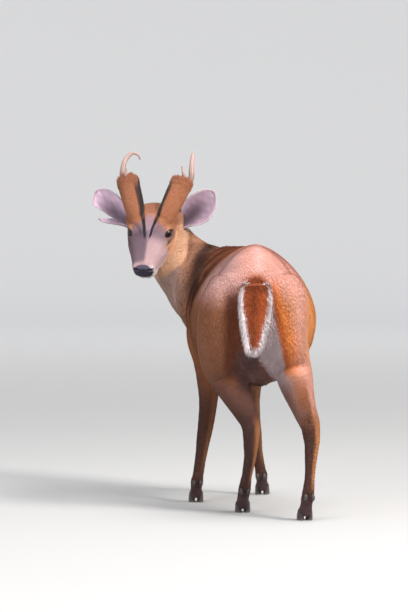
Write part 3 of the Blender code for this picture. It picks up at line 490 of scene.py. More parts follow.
@dataclass(frozen=True)
class Line:
    """A line inside the body that the coat follows from its first row to its last."""

    name: str
    rows: tuple[Row, ...]
    side: Row = (0.0, 1.0, 0.0)
    placed: bool = False

    def measure(self, points: Array) -> Measure:
        """Distance from the nearest spot of the line in local radii, length run and turn round it.

        Args:
            points: Scene points, one a row.

        Returns:
            The measures, with the length run as a share of the whole.
        """
        rows = smooth_rows(self.rows, 5)
        centres = rows[:, :3] + (0.0 if self.placed else SHIFT)
        tangents = unit(np.gradient(centres, axis=0))
        run = np.concatenate([[0.0], np.cumsum(np.linalg.norm(np.diff(centres, axis=0), axis=1))])
        square = dot(points, points)[:, None] + dot(centres, centres)[None] - 2 * points @ centres.T
        near = (square / rows[:, 3] ** 2).argmin(1)
        offset = points - centres[near]
        ahead = dot(offset, tangents[near])
        radial = offset - tangents[near] * ahead[:, None]
        first = unit(np.asarray(self.side) - tangents * (tangents @ np.asarray(self.side))[:, None])[near]
        second = np.cross(tangents[near], first)
        sideways = dot(radial, first)
        return Measure(
            share=np.linalg.norm(offset, axis=1) / rows[near, 3],
            along=np.clip((run[near] + ahead) / run[-1], 0, 1),
            angle=np.arctan2(dot(radial, second), sideways) / (2 * math.pi) + 0.5,
            sideways=sideways,
            tangent=tangents[near],
            radius=rows[near, 3],
        )


PEDICLE_FOOT, PEDICLE_LEAN = (0.056, 0.0310, 0.0320), (-0.87, 0.32, 0.39)
PEDICLE_TOP, ANTLER_SEAT = 0.111, 0.115
TAIL = (
    (0.014, 0.000, 0.490, 0.024, 0.014),
    (-0.014, 0.000, 0.492, 0.030, 0.012),
    (-0.036, 0.001, 0.470, 0.033, 0.0105),
    (-0.046, 0.002, 0.435, 0.030, 0.0100),
    (-0.050, 0.003, 0.400, 0.024, 0.0090),
    (-0.050, 0.004, 0.370, 0.016, 0.0070),
    (-0.049, 0.004, 0.348, 0.005, 0.0035),
)


def pedicle_axis(side: Side) -> tuple[Array, Array]:
    """Foot and direction of a pedicle in the scene."""
    return HEAD.place(sided(PEDICLE_FOOT, side)), HEAD.turn(unit(sided(PEDICLE_LEAN, side)))


def pedicle_line(side: Side) -> Line:
    """The line up the middle of a pedicle."""
    foot, lean = pedicle_axis(side)
    rows = tuple((*(foot + lean * along), 0.026) for along in (0.0, 0.06, PEDICLE_TOP))
    return Line("pedicle_" + side.word, rows, tuple(HEAD.axes[1]), placed=True)


LINES = (
    Line(
        "head",
        tuple((*HEAD.place((f, 0.0, u)), r) for f, u, r in (
            (0.190, -0.006, 0.018), (0.150, -0.008, 0.032), (0.100, -0.006, 0.047),
            (0.050, -0.006, 0.056), (0.0, -0.006, 0.048))),
        tuple(HEAD.axes[1]),
        placed=True,
    ),
    Line("neck", (
        (0.600, 0.222, 0.622, 0.048), (0.612, 0.205, 0.596, 0.056), (0.616, 0.178, 0.553, 0.070),
        (0.602, 0.134, 0.505, 0.085), (0.575, 0.098, 0.470, 0.095)), (0.0, 0.0, 1.0)),
    Line("trunk", (
        (0.590, 0.080, 0.430, 0.075), (0.535, 0.061, 0.420, 0.105), (0.420, 0.028, 0.418, 0.135),
        (0.290, 0.001, 0.422, 0.145), (0.155, 0.000, 0.435, 0.135), (0.060, 0.000, 0.440, 0.115),
        (0.0, 0.0, 0.440, 0.075))),
    Line("hind_left", (
        (0.092, 0.071, 0.390, 0.075), (0.115, 0.073, 0.340, 0.062), (0.126, 0.061, 0.298, 0.049),
        (0.110, 0.040, 0.257, 0.036), (0.072, 0.023, 0.224, 0.027), (0.048, 0.011, 0.198, 0.024),
        (0.060, 0.012, 0.122, 0.014), (0.087, 0.023, 0.053, 0.0145), (0.115, 0.0265, 0.018, 0.016))),
    Line("hind_right", (
        (0.078, -0.063, 0.390, 0.075), (0.085, -0.072, 0.340, 0.062), (0.078, -0.085, 0.298, 0.049),
        (0.040, -0.0945, 0.262, 0.035), (-0.005, -0.104, 0.230, 0.027), (-0.036, -0.114, 0.203, 0.024),
        (-0.055, -0.116, 0.135, 0.014), (-0.074, -0.109, 0.055, 0.0145), (-0.054, -0.104, 0.018, 0.016))),
    Line("fore_left", (
        (0.487, 0.108, 0.370, 0.054), (0.465, 0.102, 0.315, 0.042), (0.449, 0.100, 0.265, 0.030),
        (0.430, 0.101, 0.220, 0.0225), (0.392, 0.111, 0.145, 0.017), (0.346, 0.124, 0.062, 0.013),
        (0.351, 0.1285, 0.018, 0.016))),
    Line("fore_right", (
        (0.488, -0.012, 0.370, 0.052), (0.476, -0.002, 0.315, 0.042), (0.482, 0.004, 0.265, 0.030),
        (0.492, 0.004, 0.220, 0.0225), (0.507, -0.005, 0.145, 0.017), (0.514, -0.018, 0.062, 0.013),
        (0.540, -0.023, 0.018, 0.016))),
    pedicle_line(Side.LEFT),
    pedicle_line(Side.RIGHT),
    Line("tail", tuple((x, y, z, 0.5 * (w + t)) for x, y, z, w, t in TAIL)),
)
NAMES = tuple(line.name for line in LINES)
HEAD_LINE, NECK_LINE, TRUNK_LINE, TAIL_LINE = (NAMES.index(n) for n in ("head", "neck", "trunk", "tail"))


class Lay:
    """The lie of the coat and the part of the body at each point."""

    def __init__(self, points: Array, normals: Array) -> None:
        """Measures the points against every line of the body.

        Args:
            points: Scene points.
            normals: Unit normals there.
        """
        self.points, self.normals = points, normals
        self.measures = [line.measure(points) for line in LINES]
        shares = np.stack([m.share for m in self.measures], 1)
        shares[:, TAIL_LINE] *= 0.55
        shares[:, TRUNK_LINE] *= 1 + 1.2 * ease(-0.0225, -0.0265, (points - SHIFT)[:, 0])
        weights = (shares + 0.05) ** -6.0
        self.weights = weights / weights.sum(1, keepdims=True)
        self.part = shares.argmin(1)
        self.head = HEAD.local(points)
        self.stance = points - SHIFT

    @classmethod
    def over(cls, piece: bpy.types.Object) -> "Lay":
        """The lie at every point of a piece."""
        return cls(points_of(piece), points_of(piece, "normal"))

    def weight(self, *names: str) -> Array:
        """Share of the named parts at each point, from 0 to 1."""
        return sum(self.weights[:, NAMES.index(name)] for name in names)

    @property
    def radius(self) -> Array:
        """How thick the body is here."""
        return sum(self.weights[:, k] * m.radius for k, m in enumerate(self.measures))

    def lie(self) -> Array:
        """Unit direction of the hair: along the lines, downward on the flanks, in the surface."""
        flow = sum(self.weights[:, k, None] * m.tangent for k, m in enumerate(self.measures))
        trunk = self.weight("trunk")
        rear = ease(0.10, -0.01, self.stance[:, 0]) * trunk
        z = self.stance[:, 2]
        flow[:, 2] -= trunk * (0.35 * ease(0.56, 0.40, z)) + 1.1 * rear * ease(0.58, 0.50, z)
        tail = self.measures[TAIL_LINE]
        flow[:, 1] += self.weights[:, TAIL_LINE] * np.clip(tail.sideways / 0.02, -1, 1) ** 3 * 0.75
        return unit(flow - self.normals * dot(flow, self.normals)[:, None])

    def depth(self) -> Array:
        """Depth of the coat over the skin."""
        thin = ease(0.018, 0.09, self.radius)
        depth = 0.0009 + 0.0006 * thin
        return depth - self.weight("head") * (depth - 0.0009 + 0.0004 * ease(0.12, 0.18, self.head[:, 0]))

    def hair_length(self) -> Array:
        """Length of the hair."""
        length = 0.0060 + 0.0065 * ease(0.018, 0.09, self.radius)
        head = 0.0052 - 0.0026 * ease(0.10, 0.17, self.head[:, 0])
        length = length + self.weight("head") * (head - length)
        return length + self.weight("tail") * (0.021 - length)


@dataclass(frozen=True)
class Markings:
    """The pattern of the coat, with painted light and shade laid into it, as sums of soft masks over the
    body, shared by skin and hair.

    A mask is a product of steps and bells in the stance's x, y and z, or in the head's forward (f),
    side and up (u) measures. pale_inner and pale_outer are the edges of the band inside the right
    thigh at each of heights. fold, crest and border are lines down the neck: heights, then y.
    """

    stripe_top: Row = (0.055, 0.0180)
    stripe_slope: float = -0.20
    heights: Row = (0.192, 0.228, 0.263, 0.295, 0.323, 0.359, 0.380, 0.409, 0.465, 0.505)
    pale_inner: Row = (0.080, 0.069, 0.044, 0.037, 0.019, 0.0085, 0.0, -0.010, -0.010, -0.010)
    pale_outer: Row = (0.097, 0.090, 0.0655, 0.058, 0.058, 0.053, 0.049, 0.044, 0.035, 0.032)
    fold: tuple[Row, Row] = (
        (0.380, 0.445, 0.515, 0.556, 0.577, 0.600), (0.150, 0.1525, 0.142, 0.131, 0.111, 0.080))
    crest: tuple[Row, Row] = (
        (0.38, 0.492, 0.515, 0.540, 0.555, 0.570), (0.134, 0.126, 0.118, 0.092, 0.074, 0.039))
    border: tuple[Row, Row] = (
        (0.508, 0.524, 0.536, 0.554, 0.577, 0.612), (0.201, 0.176, 0.162, 0.154, 0.152, 0.153))

    def colours(self, lay: Lay) -> Array:
        """Linear colour of the coat at each point, painted light and shade included."""
        p = PALETTE
        x, y, z = lay.stance.T
        colours = plain(p.red, len(x))
        trunk, neck = lay.weight("trunk"), lay.weight("neck")
        body = trunk + lay.weight("hind_left", "hind_right")
        # Orange on the right flank only: partly the golden lower flank, partly painted sunlight.
        right = ease(-0.04, -0.115, y)
        colours = mix(colours, p.flank, body * right * ease(0.29, 0.36, z) * 0.9)
        # Painted shade: darker brown on the lower left side of the body.
        colours = mix(colours, p.thigh, body * ease(0.03, 0.09, y) * ease(0.26, 0.34, z) * 0.85)
        # Painted sheen: pink reflection of the sky on the rear-facing top of the rump, mauve toward its left
        # side.
        backward = ease(0.16, -0.10, lay.normals[:, 0])
        top = ease(0.33, 0.20, x) * ease(0.44, 0.52, z) * backward
        colours = mix(colours, p.rump, body * top * 0.95)
        colours = mix(colours, p.mauve, body * top * ease(0.005, 0.060, y) * 0.85)
        # Painted highlight: a pink ridge of light on the rear of the right thigh.
        thigh_highlight = bell(-y, 0.096, 0.020) * ease(0.26, 0.16, x) * ease(0.25, 0.33, z) * backward
        colours = mix(colours, p.rump, body * thigh_highlight * 0.8)
        # Painted highlight along the top of the rump.
        spine = bell(y, -0.006, 0.013) * ease(0.515, 0.535, z) * ease(0.24, 0.14, x)
        colours = mix(colours, p.spine, body * spine * 0.55)
        back = ease(0.35, 0.85, lay.normals[:, 2]) * trunk * ease(0.24, 0.36, x)
        colours = mix(colours, p.rust, back * 0.45)
        colours = self.rear(colours, lay, body)
        colours = self.neck(colours, lay, neck, trunk)
        colours = self.legs(colours, lay)
        colours = self.face(colours, lay)
        colours = self.tail(colours, lay)
        return colours * (1 + 0.05 * noise(lay.points, 0.06, 3) + 0.03 * noise(lay.points, 0.015, 4))[:, None]

    def rear(self, colours: Array, lay: Lay, body: Array) -> Array:
        """Pale band down the inside of the right thigh, greyed by painted shade; dark groin, partly painted
        shade between the legs; and rust bands beside the tail.
        """
        p = PALETTE
        x, y, z = lay.stance.T
        rear = ease(0.17, 0.11, x) * body
        inner = np.interp(z, self.heights, self.pale_inner)
        outer = np.interp(z, self.heights, self.pale_outer)
        wide = np.interp(z, (0.30, 0.40, 0.465, 0.50), (0.036, 0.034, 0.022, 0.014))
        away = (-y - outer) / wide
        high = ease(0.29, 0.35, z) * ease(0.52, 0.49, z)
        colours = mix(colours, p.orange, rear * bell(away, 0.55, 0.60) * high * 0.95)
        colours = mix(colours, p.rust, rear * bell(away, 0.20, 0.32) * high * 0.8)
        left = ease(0.078, 0.055, y) * ease(-0.012, 0.0, y) * ease(0.27, 0.33, z) * ease(0.51, 0.47, z)
        colours = mix(colours, p.chestnut, rear * left * 0.88)
        # Dark groin: partly its own dark skin, partly painted shade between the hind legs.
        groin = ease(inner + 0.005, inner - 0.005, -y) * ease(0.050, 0.030, y) * ease(0.375, 0.350, z)
        colours = mix(colours, p.groin, rear * groin * 0.9)
        # Pale band of the right thigh, greyed by painted shade.
        pale = ease(outer + 0.005, outer - 0.004, -y) * ease(inner - 0.004, inner + 0.004, -y)
        colours = mix(colours, p.inner, rear * pale * ease(0.18, 0.21, z) * ease(0.512, 0.49, z))
        # Pale coat facing down under the belly and inside the right hind leg, greyed by painted shade.
        under = lay.weight("trunk") * ease(-0.45, -0.85, lay.normals[:, 2])
        colours = mix(colours, p.inner, under * ease(0.52, 0.40, x) * ease(0.14, 0.20, x) * 0.85)
        inside = ease(0.35, 0.80, lay.normals[:, 1]) * lay.weight("hind_right") * ease(0.19, 0.24, z)
        colours = mix(colours, p.inner, inside * 0.85)
        # Painted shade on the inside of the left hind leg.
        inside = ease(0.35, 0.80, -lay.normals[:, 1]) * lay.weight("hind_left") * ease(0.19, 0.26, z)
        return mix(colours, p.groin, inside * 0.7)

    def neck(self, colours: Array, lay: Lay, neck: Array, trunk: Array) -> Array:
        """Fawn collar behind the cheek, brightened by painted light; painted shade in the folds beyond it and
        along its edge; one ridge lightened by painted highlight; and a dark nape deepened by painted shade.
        """
        p = PALETTE
        x, y, z = lay.stance.T
        both = neck + trunk
        fore = ease(0.25, 0.43, x)
        colours = mix(colours, p.neck, neck * 0.9)
        throat = ease(0.150, 0.190, y) * ease(0.545, 0.515, z)
        colours = mix(colours, p.throat, neck * throat * 0.9)
        chest = both * ease(0.45, 0.56, x) * ease(0.44, 0.34, z)
        colours = mix(colours, p.throat, chest * 0.4)
        path = np.interp(z, *self.fold)
        # Painted shade in the folds of the bent neck, over the darker coat of nape and shoulder.
        shoulder = ease(path + 0.014, path - 0.010, y) * ease(0.32, 0.50, z) * ease(-0.03, 0.03, y)
        colours = mix(colours, p.chestnut, both * fore * shoulder * 0.75)
        nape = bell(y, path - 0.013, 0.021) * ease(0.41, 0.49, z)
        colours = mix(colours, p.nape, both * fore * nape * 0.88)
        # Painted highlight on the lit ridge between the folds.
        crest = bell(y, np.interp(z, *self.crest) - 0.006, 0.006) * ease(0.36, 0.42, z)
        colours = mix(colours, p.thigh, both * fore * crest * 0.6)
        border = np.interp(z, *self.border)
        # Painted shade in the fold line along the collar's edge.
        edge = bell(y, border - 0.007, 0.004) * ease(0.52, 0.55, z)
        colours = mix(colours, p.shank, neck * edge * 0.7)
        # Fawn collar, brightened by painted light where it faces back.
        collar = ease(border - 0.003, border + 0.004, y) * ease(0.49, 0.515, z)
        collar = collar * ease(0.50, 0.2, lay.normals[:, 0])
        return mix(colours, p.collar, neck * collar * 0.95)

    def legs(self, colours: Array, lay: Lay) -> Array:
        """Brown shanks that darken to the hooves; painted sunlight in orange along their right-facing sides,
        a painted pink highlight on the right hind leg and painted shade on the left one.
        """
        p = PALETTE
        z = lay.stance[:, 2]
        hind = lay.weight("hind_left", "hind_right")
        fore = lay.weight("fore_left", "fore_right")
        colours = mix(colours, p.shank, hind * ease(0.33, 0.25, z) * 0.85 + fore * ease(0.38, 0.30, z) * 0.75)
        left = lay.weight("hind_left")
        # Painted shade on the left hind leg.
        colours = mix(colours, p.groin, left * ease(0.33, 0.27, z) * 0.6)
        # Painted highlight in pink on the outside of the right hind leg.
        outer = lay.weight("hind_right") * ease(0.30, 0.75, -lay.normals[:, 1]) * ease(0.36, 0.31, z)
        colours = mix(colours, p.rump, outer * ease(0.20, 0.25, z) * 0.6)
        dark = hind * ease(0.27, 0.17, z) + fore * ease(0.33, 0.20, z)
        # Painted sunlight: orange along the right-facing sides of the lower legs.
        outer = ease(0.25, 0.85, -lay.normals[:, 1]) * ease(0.05, 0.10, z)
        outer = outer * (hind - left * ease(0.19, 0.23, z) + 0.35 * fore)
        sunlit = mix(plain(p.leg, len(z)), p.edge, outer * 0.85)
        mask = np.clip(dark, 0, 1)[:, None] * 0.92
        pale_strip = lay.weight("hind_right") * ease(0.45, 0.85, lay.normals[:, 1]) * ease(0.185, 0.215, z)
        mask = mask * (1 - 0.8 * pale_strip[:, None])
        colours = colours * (1 - mask) + sunlit * mask
        return mix(colours, p.grey, (hind + fore) * ease(0.06, 0.03, z) * 0.35)

    def stripe_line(self, forward: Array) -> Array:
        """How far from the middle of the forehead each dark line runs."""
        return self.stripe_top[1] + self.stripe_slope * (forward - self.stripe_top[0])

    def stripe(self, head: Array) -> Array:
        """Mask of the two dark lines that run together down the forehead."""
        f, l = head[:, 0], np.abs(head[:, 1])
        half = np.interp(f, (0.03, 0.060, 0.095, 0.122), (0.0050, 0.0056, 0.0042, 0.0020))
        across = np.abs(l - self.stripe_line(f)) / half
        return ease(1.05, 0.70, across) * ease(0.124, 0.114, f) * ease(0.0, 0.02, head[:, 2])

    def face(self, colours: Array, lay: Lay) -> Array:
        """Striped forehead, grey rings of the eyes, bridge darkened on one half by painted shade, pale chin,
        bare pad of the nose with a painted sheen and highlight, and painted shade in the nostrils and mouth
        line.
        """
        p = PALETTE
        head = lay.head
        f, side, u = head.T
        l = np.abs(side)
        n_up = lay.normals @ HEAD.axes[2]
        mask = ease(0.25, 0.6, lay.weight("head"))
        stalks = lay.weight("pedicle_left", "pedicle_right")
        face = plain(p.cheek, len(f))
        face = mix(face, p.poll, ease(0.060, 0.048, f) * ease(-0.02, 0.01, u))
        top = ease(0.0, 0.014, u) * ease(0.050, 0.066, f)
        face = mix(face, p.brow, top * ease(0.046, 0.034, l))
        line = self.stripe_line(f)
        face = mix(face, p.forehead, top * ease(line + 0.002, line - 0.002, l))
        face = mix(face, p.bridge, ease(0.105, 0.13, f))
        # Painted shade on the right half of the bridge.
        bridge_shade = ease(0.006, -0.003, side) * ease(0.092, 0.108, f) * ease(0.190, 0.174, f)
        face = mix(face, p.grey, bridge_shade * ease(-0.024, -0.008, u) * 0.85)
        ring = np.sqrt(((f - 0.087) / 0.029) ** 2 + ((u - 0.012) / 0.0175) ** 2)
        face = mix(face, p.grey, ease(1.05, 0.62, ring) * ease(0.020, 0.030, l) * 0.8)
        for eye in EYES:
            a, b, out = eye.local(lay.points).T
            corner = ease(1.85, 1.10, np.abs(a) / eye.half_length) * bell(b, -0.0004, 0.0034)
            face = mix(face, p.stripe, corner * (out > 0) * (np.abs(a) < 0.03) * 0.85)
        gland = np.sqrt(((f - 0.108 + 0.45 * (u - 0.007)) / 0.012) ** 2 + ((u - 0.007) / 0.0048) ** 2)
        face = mix(face, p.stripe, ease(1.1, 0.4, gland) * ease(0.024, 0.032, l) * 0.75)
        spot = np.exp(-(((f - 0.100) / 0.008) ** 2) - ((u + 0.022) / 0.008) ** 2) * ease(0.03, 0.04, l)
        face = mix(face, p.flank, spot * 0.6)
        patch = np.exp(-(((f - 0.112) / 0.008) ** 2) - ((u + 0.008) / 0.006) ** 2) * ease(0.028, 0.036, l)
        face = mix(face, p.shank, patch * 0.7)
        pale = ease(-0.018, -0.028, u) * ease(0.09, 0.12, f)
        face = mix(face, p.white, pale * 0.8)
        face = mix(face, p.throat, ease(-0.034, -0.050, u) * ease(0.13, 0.09, f) * 0.7)
        face = mix(face, p.white, ease(0.160, 0.176, f) * ease(-0.008, -0.018, u) * 0.8)
        pad = nose_pad(head)
        # Pale rim by the left nostril, painted on that side only as a highlight.
        rim = bell(pad, 1.16, 0.14) * ease(0.166, 0.176, f) * ease(0.010, 0.016, side) * ease(0.012, 0.004, u)
        face = mix(face, p.white, rim * 0.7)
        face = mix(face, p.pad, ease(1.08, 0.95, pad))
        # Painted sheen on the upward-facing top of the nose pad.
        face = mix(face, p.pad_sheen, ease(1.0, 0.85, pad) * ease(0.15, 0.75, n_up) * 0.8)
        # Painted shade in the nostril openings.
        hollow = bell(l, 0.0175, 0.0056) * bell(u - 0.001 + 28.0 * (l - 0.018) ** 2, 0.0, 0.0036)
        face = mix(face, p.stripe, hollow * ease(0.176, 0.184, f))
        # Painted shade in the crease between the lips.
        mouth = bell(u + 0.0205, 0.0, 0.0016) * ease(0.118, 0.13, f) * ease(0.0, 0.010, l)
        face = mix(face, p.stripe, mouth * 0.75)
        share = np.clip(mask * (1 - stalks), 0, 1)[:, None]
        colours = colours * (1 - share) + face * share
        colours = mix(colours, p.poll, stalks * 0.9)
        own = {way: lay.weight("pedicle_" + way.word) for way in Side}
        run = {way: lay.measures[NAMES.index("pedicle_" + way.word)].along for way in Side}
        for way in Side:
            colours = mix(colours, p.chestnut, own[way] * ease(0.55, 1.0, run[way]) * 0.45)
        for way in Side:
            toward = lay.normals @ HEAD.turn(unit((0.13, -way.value * 0.98, 0.10)))
            streak = ease(0.50, 0.68, toward) * ease(0.85, 0.55, run[way])
            colours = mix(colours, p.stripe, own[way] * streak * 0.9)
        return mix(colours, p.stripe, self.stripe(head) * np.clip(mask + stalks, 0, 1))

    def tail(self, colours: Array, lay: Lay) -> Array:
        """Chestnut middle with a white border and tip, and painted shade on the upward top of the root."""
        m = lay.measures[TAIL_LINE]
        weight = ease(0.35, 0.65, lay.weight("tail"))
        rim = np.interp(m.along, (0.0, 0.35, 0.60, 0.80, 1.0), (0.0190, 0.0180, 0.0125, 0.0070, 0.002))
        colours = mix(colours, PALETTE.rust, ease(0.10, 0.85, lay.weight("tail")))
        middle = bell(m.sideways, 0.004, 0.010) * ease(0.10, 0.25, m.along)
        colours = mix(colours, PALETTE.chestnut, weight * middle * 0.6)
        # Painted shade on the upward-facing top of the tail's root.
        tail_root_shade = ease(0.10, 0.60, lay.normals[:, 2]) * ease(0.30, 0.15, m.along)
        colours = mix(colours, PALETTE.chestnut, weight * tail_root_shade * 0.65)
        edge = np.maximum(ease(-0.001, 0.003, np.abs(m.sideways) - rim), ease(0.80, 0.88, m.along))
        return mix(colours, PALETTE.white, weight * edge * ease(0.03, 0.11, m.along) * 0.88)


MARKINGS = Markings()


# The face.


@dataclass(frozen=True)
class EyePlace:
    """One eye's own directions: along the slit of the lids, up across it, and outward."""

    side: Side
    at: Row = (0.0802, 0.0373, 0.0151)
    radius: float = 0.0140
    half_length: float = 0.0124
    half_height: float = 0.0066
    tilt: float = math.radians(17)
    outward: Row = (0.58, 0.74, 0.34)

    @property
    def centre(self) -> Array:
        """Middle of the eyeball."""
        return HEAD.place(sided(self.at, self.side))

    @property
    def axes(self) -> Array:
        """Rows are along, upward and out."""
        out = HEAD.turn(unit(sided(self.outward, self.side)))
        level = unit(HEAD.axes[0] - dot(HEAD.axes[0], out) * out)
        rise = unit(HEAD.axes[2] - dot(HEAD.axes[2], out) * out)
        rise = unit(rise - dot(rise, level) * level)
        along = math.cos(self.tilt) * level + math.sin(self.tilt) * rise
        return np.array([along, math.cos(self.tilt) * rise - math.sin(self.tilt) * level, out])

    def local(self, points: Array) -> Array:
        """Scene points in the eye's own measures."""
        return (points - self.centre) @ self.axes.T

    def slit(self, local: Array) -> Array:
        """1 on the edge of the opening between the lids, less inside it."""
        along, across = np.abs(local[:, 0] / self.half_length), np.abs(local[:, 1] / self.half_height)
        return (along**2 + across**1.6) ** (1 / 1.8)

    def eyeball(self) -> bpy.types.Object:
        """Ball with a swelling cornea over a brown iris and a long level pupil."""
        points, faces = ball((0, 0, 0), (1, 1, 1), np.eye(3)[[2, 0, 1]], 40, 64)
        direction = unit(points)
        polar = np.arccos(np.clip(direction[:, 2], -1, 1))
        swollen = self.radius * (1 + 0.07 * bell(polar, 0.0, 0.62))
        placed = self.centre + (direction * swollen[:, None]) @ self.axes
        piece = make_piece("eyeball_" + self.side.word, placed, faces)
        a, b = direction[:, 0] * math.cos(self.tilt), direction[:, 1]
        pupil = np.sqrt((a / 0.46) ** 2 + (b / 0.30) ** 2)
        rays = np.sin(37 * np.arctan2(direction[:, 1], direction[:, 0])) * ease(0.3, 0.9, polar)
        colours = plain((0.018, 0.008, 0.005), len(points)) * (1 + 0.5 * rays)[:, None]
        colours = mix(colours, (0.003, 0.003, 0.005), ease(1.15, 0.85, pupil))
        colours = mix(colours, (0.02, 0.012, 0.01), ease(0.80, 0.95, polar))
        set_tint(piece, colours)
        return WET.dress(piece, "eye_" + self.side.word)

    def lids(self, skin_points: Array) -> bpy.types.Object:
        """Lids as rings round the slit: out from the ball, over a rim and two folds, into the skin.

        Args:
            skin_points: Points of the skin before the socket is pressed in.

        Returns:
            The piece.
        """
        near = self.local(skin_points)
        near = near[(near[:, 2] > 0) & (np.linalg.norm(near, axis=1) < 0.045)]
        turn = np.linspace(0, 2 * math.pi, 72, endpoint=False)[:, None]
        scale = np.array((0.90, 0.98, 1.05, 1.14, 1.24, 1.36, 1.50, 1.66, 1.84, 2.02, 2.2))[None, :]
        stretch = 1 + 0.35 * (scale - 1)
        a = self.half_length * np.cos(turn) * (scale / stretch) * (1 + 0.1 * (scale - 1))
        b = self.half_height * np.sign(np.sin(turn)) * np.abs(np.sin(turn)) ** 1.25 * scale * stretch
        flat = np.stack([a, b], -1).reshape(-1, 2)
        gap = ((flat[:, None] - near[None, :, :2]) ** 2).sum(2)
        pull = np.exp(-gap / (2 * 0.0014**2)) + 1e-12 * np.exp(-gap / (2 * 0.006**2))
        skin = ((pull * near[None, :, 2]).sum(1) / pull.sum(1)).reshape(a.shape)
        on_ball = np.sqrt(np.maximum(self.radius**2 - a**2 - b**2, (0.45 * self.radius) ** 2))
        stations = (0.90, 0.98, 1.05, 1.14, 1.24, 1.36, 2.2)
        lid = on_ball + np.interp(scale, stations, (-0.002, 0.0002, 0.0013, 0.0017, 0.0013, 0.0010, 0.001))
        upper = ease(0.0, 0.6, np.sin(turn))
        fold = -0.0009 * bell(scale, 1.33, 0.06) * (0.4 + 0.6 * upper)
        fold = fold + 0.0008 * bell(scale, 1.55, 0.12) * upper
        depth = lid + (skin - lid) * ease(1.16, 1.62, scale) + fold - 0.0018 * ease(1.9, 2.2, scale)
        points = self.centre + np.stack([a, b, depth], -1).reshape(-1, 3) @ self.axes
        rings, wide = scale.shape[1], len(turn)
        j = np.arange(wide)[:, None] * rings
        k = ((np.arange(wide) + 1) % wide)[:, None] * rings
        s = np.arange(rings - 1)[None, :]
        faces = np.stack([j + s, k + s, k + s + 1, j + s + 1], -1).reshape(-1, 4)
        inner = points - 0.0016 * self.axes[2]
        shut = np.concatenate([faces, faces[:, ::-1] + len(points)])
        edges = []
        for edge in (0, rings - 1):
            here, there = (j + edge).ravel(), (k + edge).ravel()
            edges.append(np.stack([here, there, there + len(points), here + len(points)], -1))
        faces = np.concatenate([shut, *edges])
        piece = make_piece("lids_" + self.side.word, np.vstack([points, inner]), faces)
        lay = Lay.over(piece)
        dark = ease(1.45, 1.15, self.slit(self.local(lay.points))) * 0.92
        set_tint(piece, mix(MARKINGS.colours(lay), PALETTE.stripe, dark))
        return HIDE.dress(piece)


EYES = tuple(EyePlace(side) for side in Side)


@dataclass(frozen=True)
class Face:
    """Forms pressed into and raised on the skin of the head.

    In order: the gland before the eye, the nostril and its rim, the groove below the nose, the line
    of the mouth between the lips, the brow, the hollow of the cheek and the crest under the eye.
    """

    nostril: Row = (0.1895, 0.0160, 0.0010)
    gland: Row = (0.1080, 0.0420, 0.0070)
    socket: float = 0.0035

    def carve(self, points: Array, normals: Array) -> Array:
        """Moves points along their normals by the sum of the folds, and in behind the eyeballs.

        Args:
            points: Points of the skin.
            normals: Their normals.

        Returns:
            The moved points.
        """
        head = HEAD.local(points)
        f, u = head[:, 0], head[:, 2]
        l = np.abs(head[:, 1])
        slant_a = (f - self.gland[0]) * 0.91 - (u - self.gland[2]) * 0.41
        slant_b = (f - self.gland[0]) * 0.41 + (u - self.gland[2]) * 0.91
        slot = 0.0007 * bell(np.abs(slant_b), 0.0032, 0.0016) - 0.0022 * bell(slant_b, 0, 0.0014)
        move = ease(0.022, 0.030, l) * bell(slant_a, 0, 0.0085) * slot
        curve = u - self.nostril[2] + 28.0 * (l - self.nostril[1] - 0.002) ** 2
        front = ease(0.176, 0.186, f)
        hole = bell(l, self.nostril[1] + 0.001, 0.0046) * bell(curve, 0, 0.0025) * front
        rim = bell(l, self.nostril[1], 0.007) * bell(np.abs(curve), 0.0046, 0.0018)
        move += -0.0056 * hole + 0.0009 * front * rim
        move -= 0.0007 * bell(l, 0, 0.0010) * ease(0.184, 0.190, f) * ease(0.004, -0.002, u)
        path = -0.0205 - 0.0018 * ease(0.145, 0.120, f) + 0.0010 * bell(f, 0.158, 0.012)
        lips = bell(u, path + 0.0034, 0.0020) + bell(u, path - 0.0034, 0.0020)
        move += ease(0.116, 0.126, f) * (-0.0016 * bell(u, path, 0.0010) + 0.0006 * lips)
        brow = bell(f, 0.078, 0.016) * bell(u, 0.033, 0.006) * ease(0.016, 0.026, l)
        hollow = bell(f, 0.120, 0.014) * bell(u, 0.004, 0.010) * ease(0.012, 0.022, l)
        crest = bell(u, -0.010, 0.005) * ease(0.085, 0.100, f) * ease(0.140, 0.115, f) * ease(0.02, 0.03, l)
        move += 0.0016 * brow - 0.0022 * hollow + 0.0012 * crest
        moved = points + normals * move[:, None]
        for eye in EYES:
            local = eye.local(moved)
            near = ease(1.42, 1.20, eye.slit(local)) * (local[:, 2] > self.socket) * (local[:, 2] < 0.03)
            moved = moved - np.outer(near * (local[:, 2] - self.socket), eye.axes[2])
        return moved


# The skin.


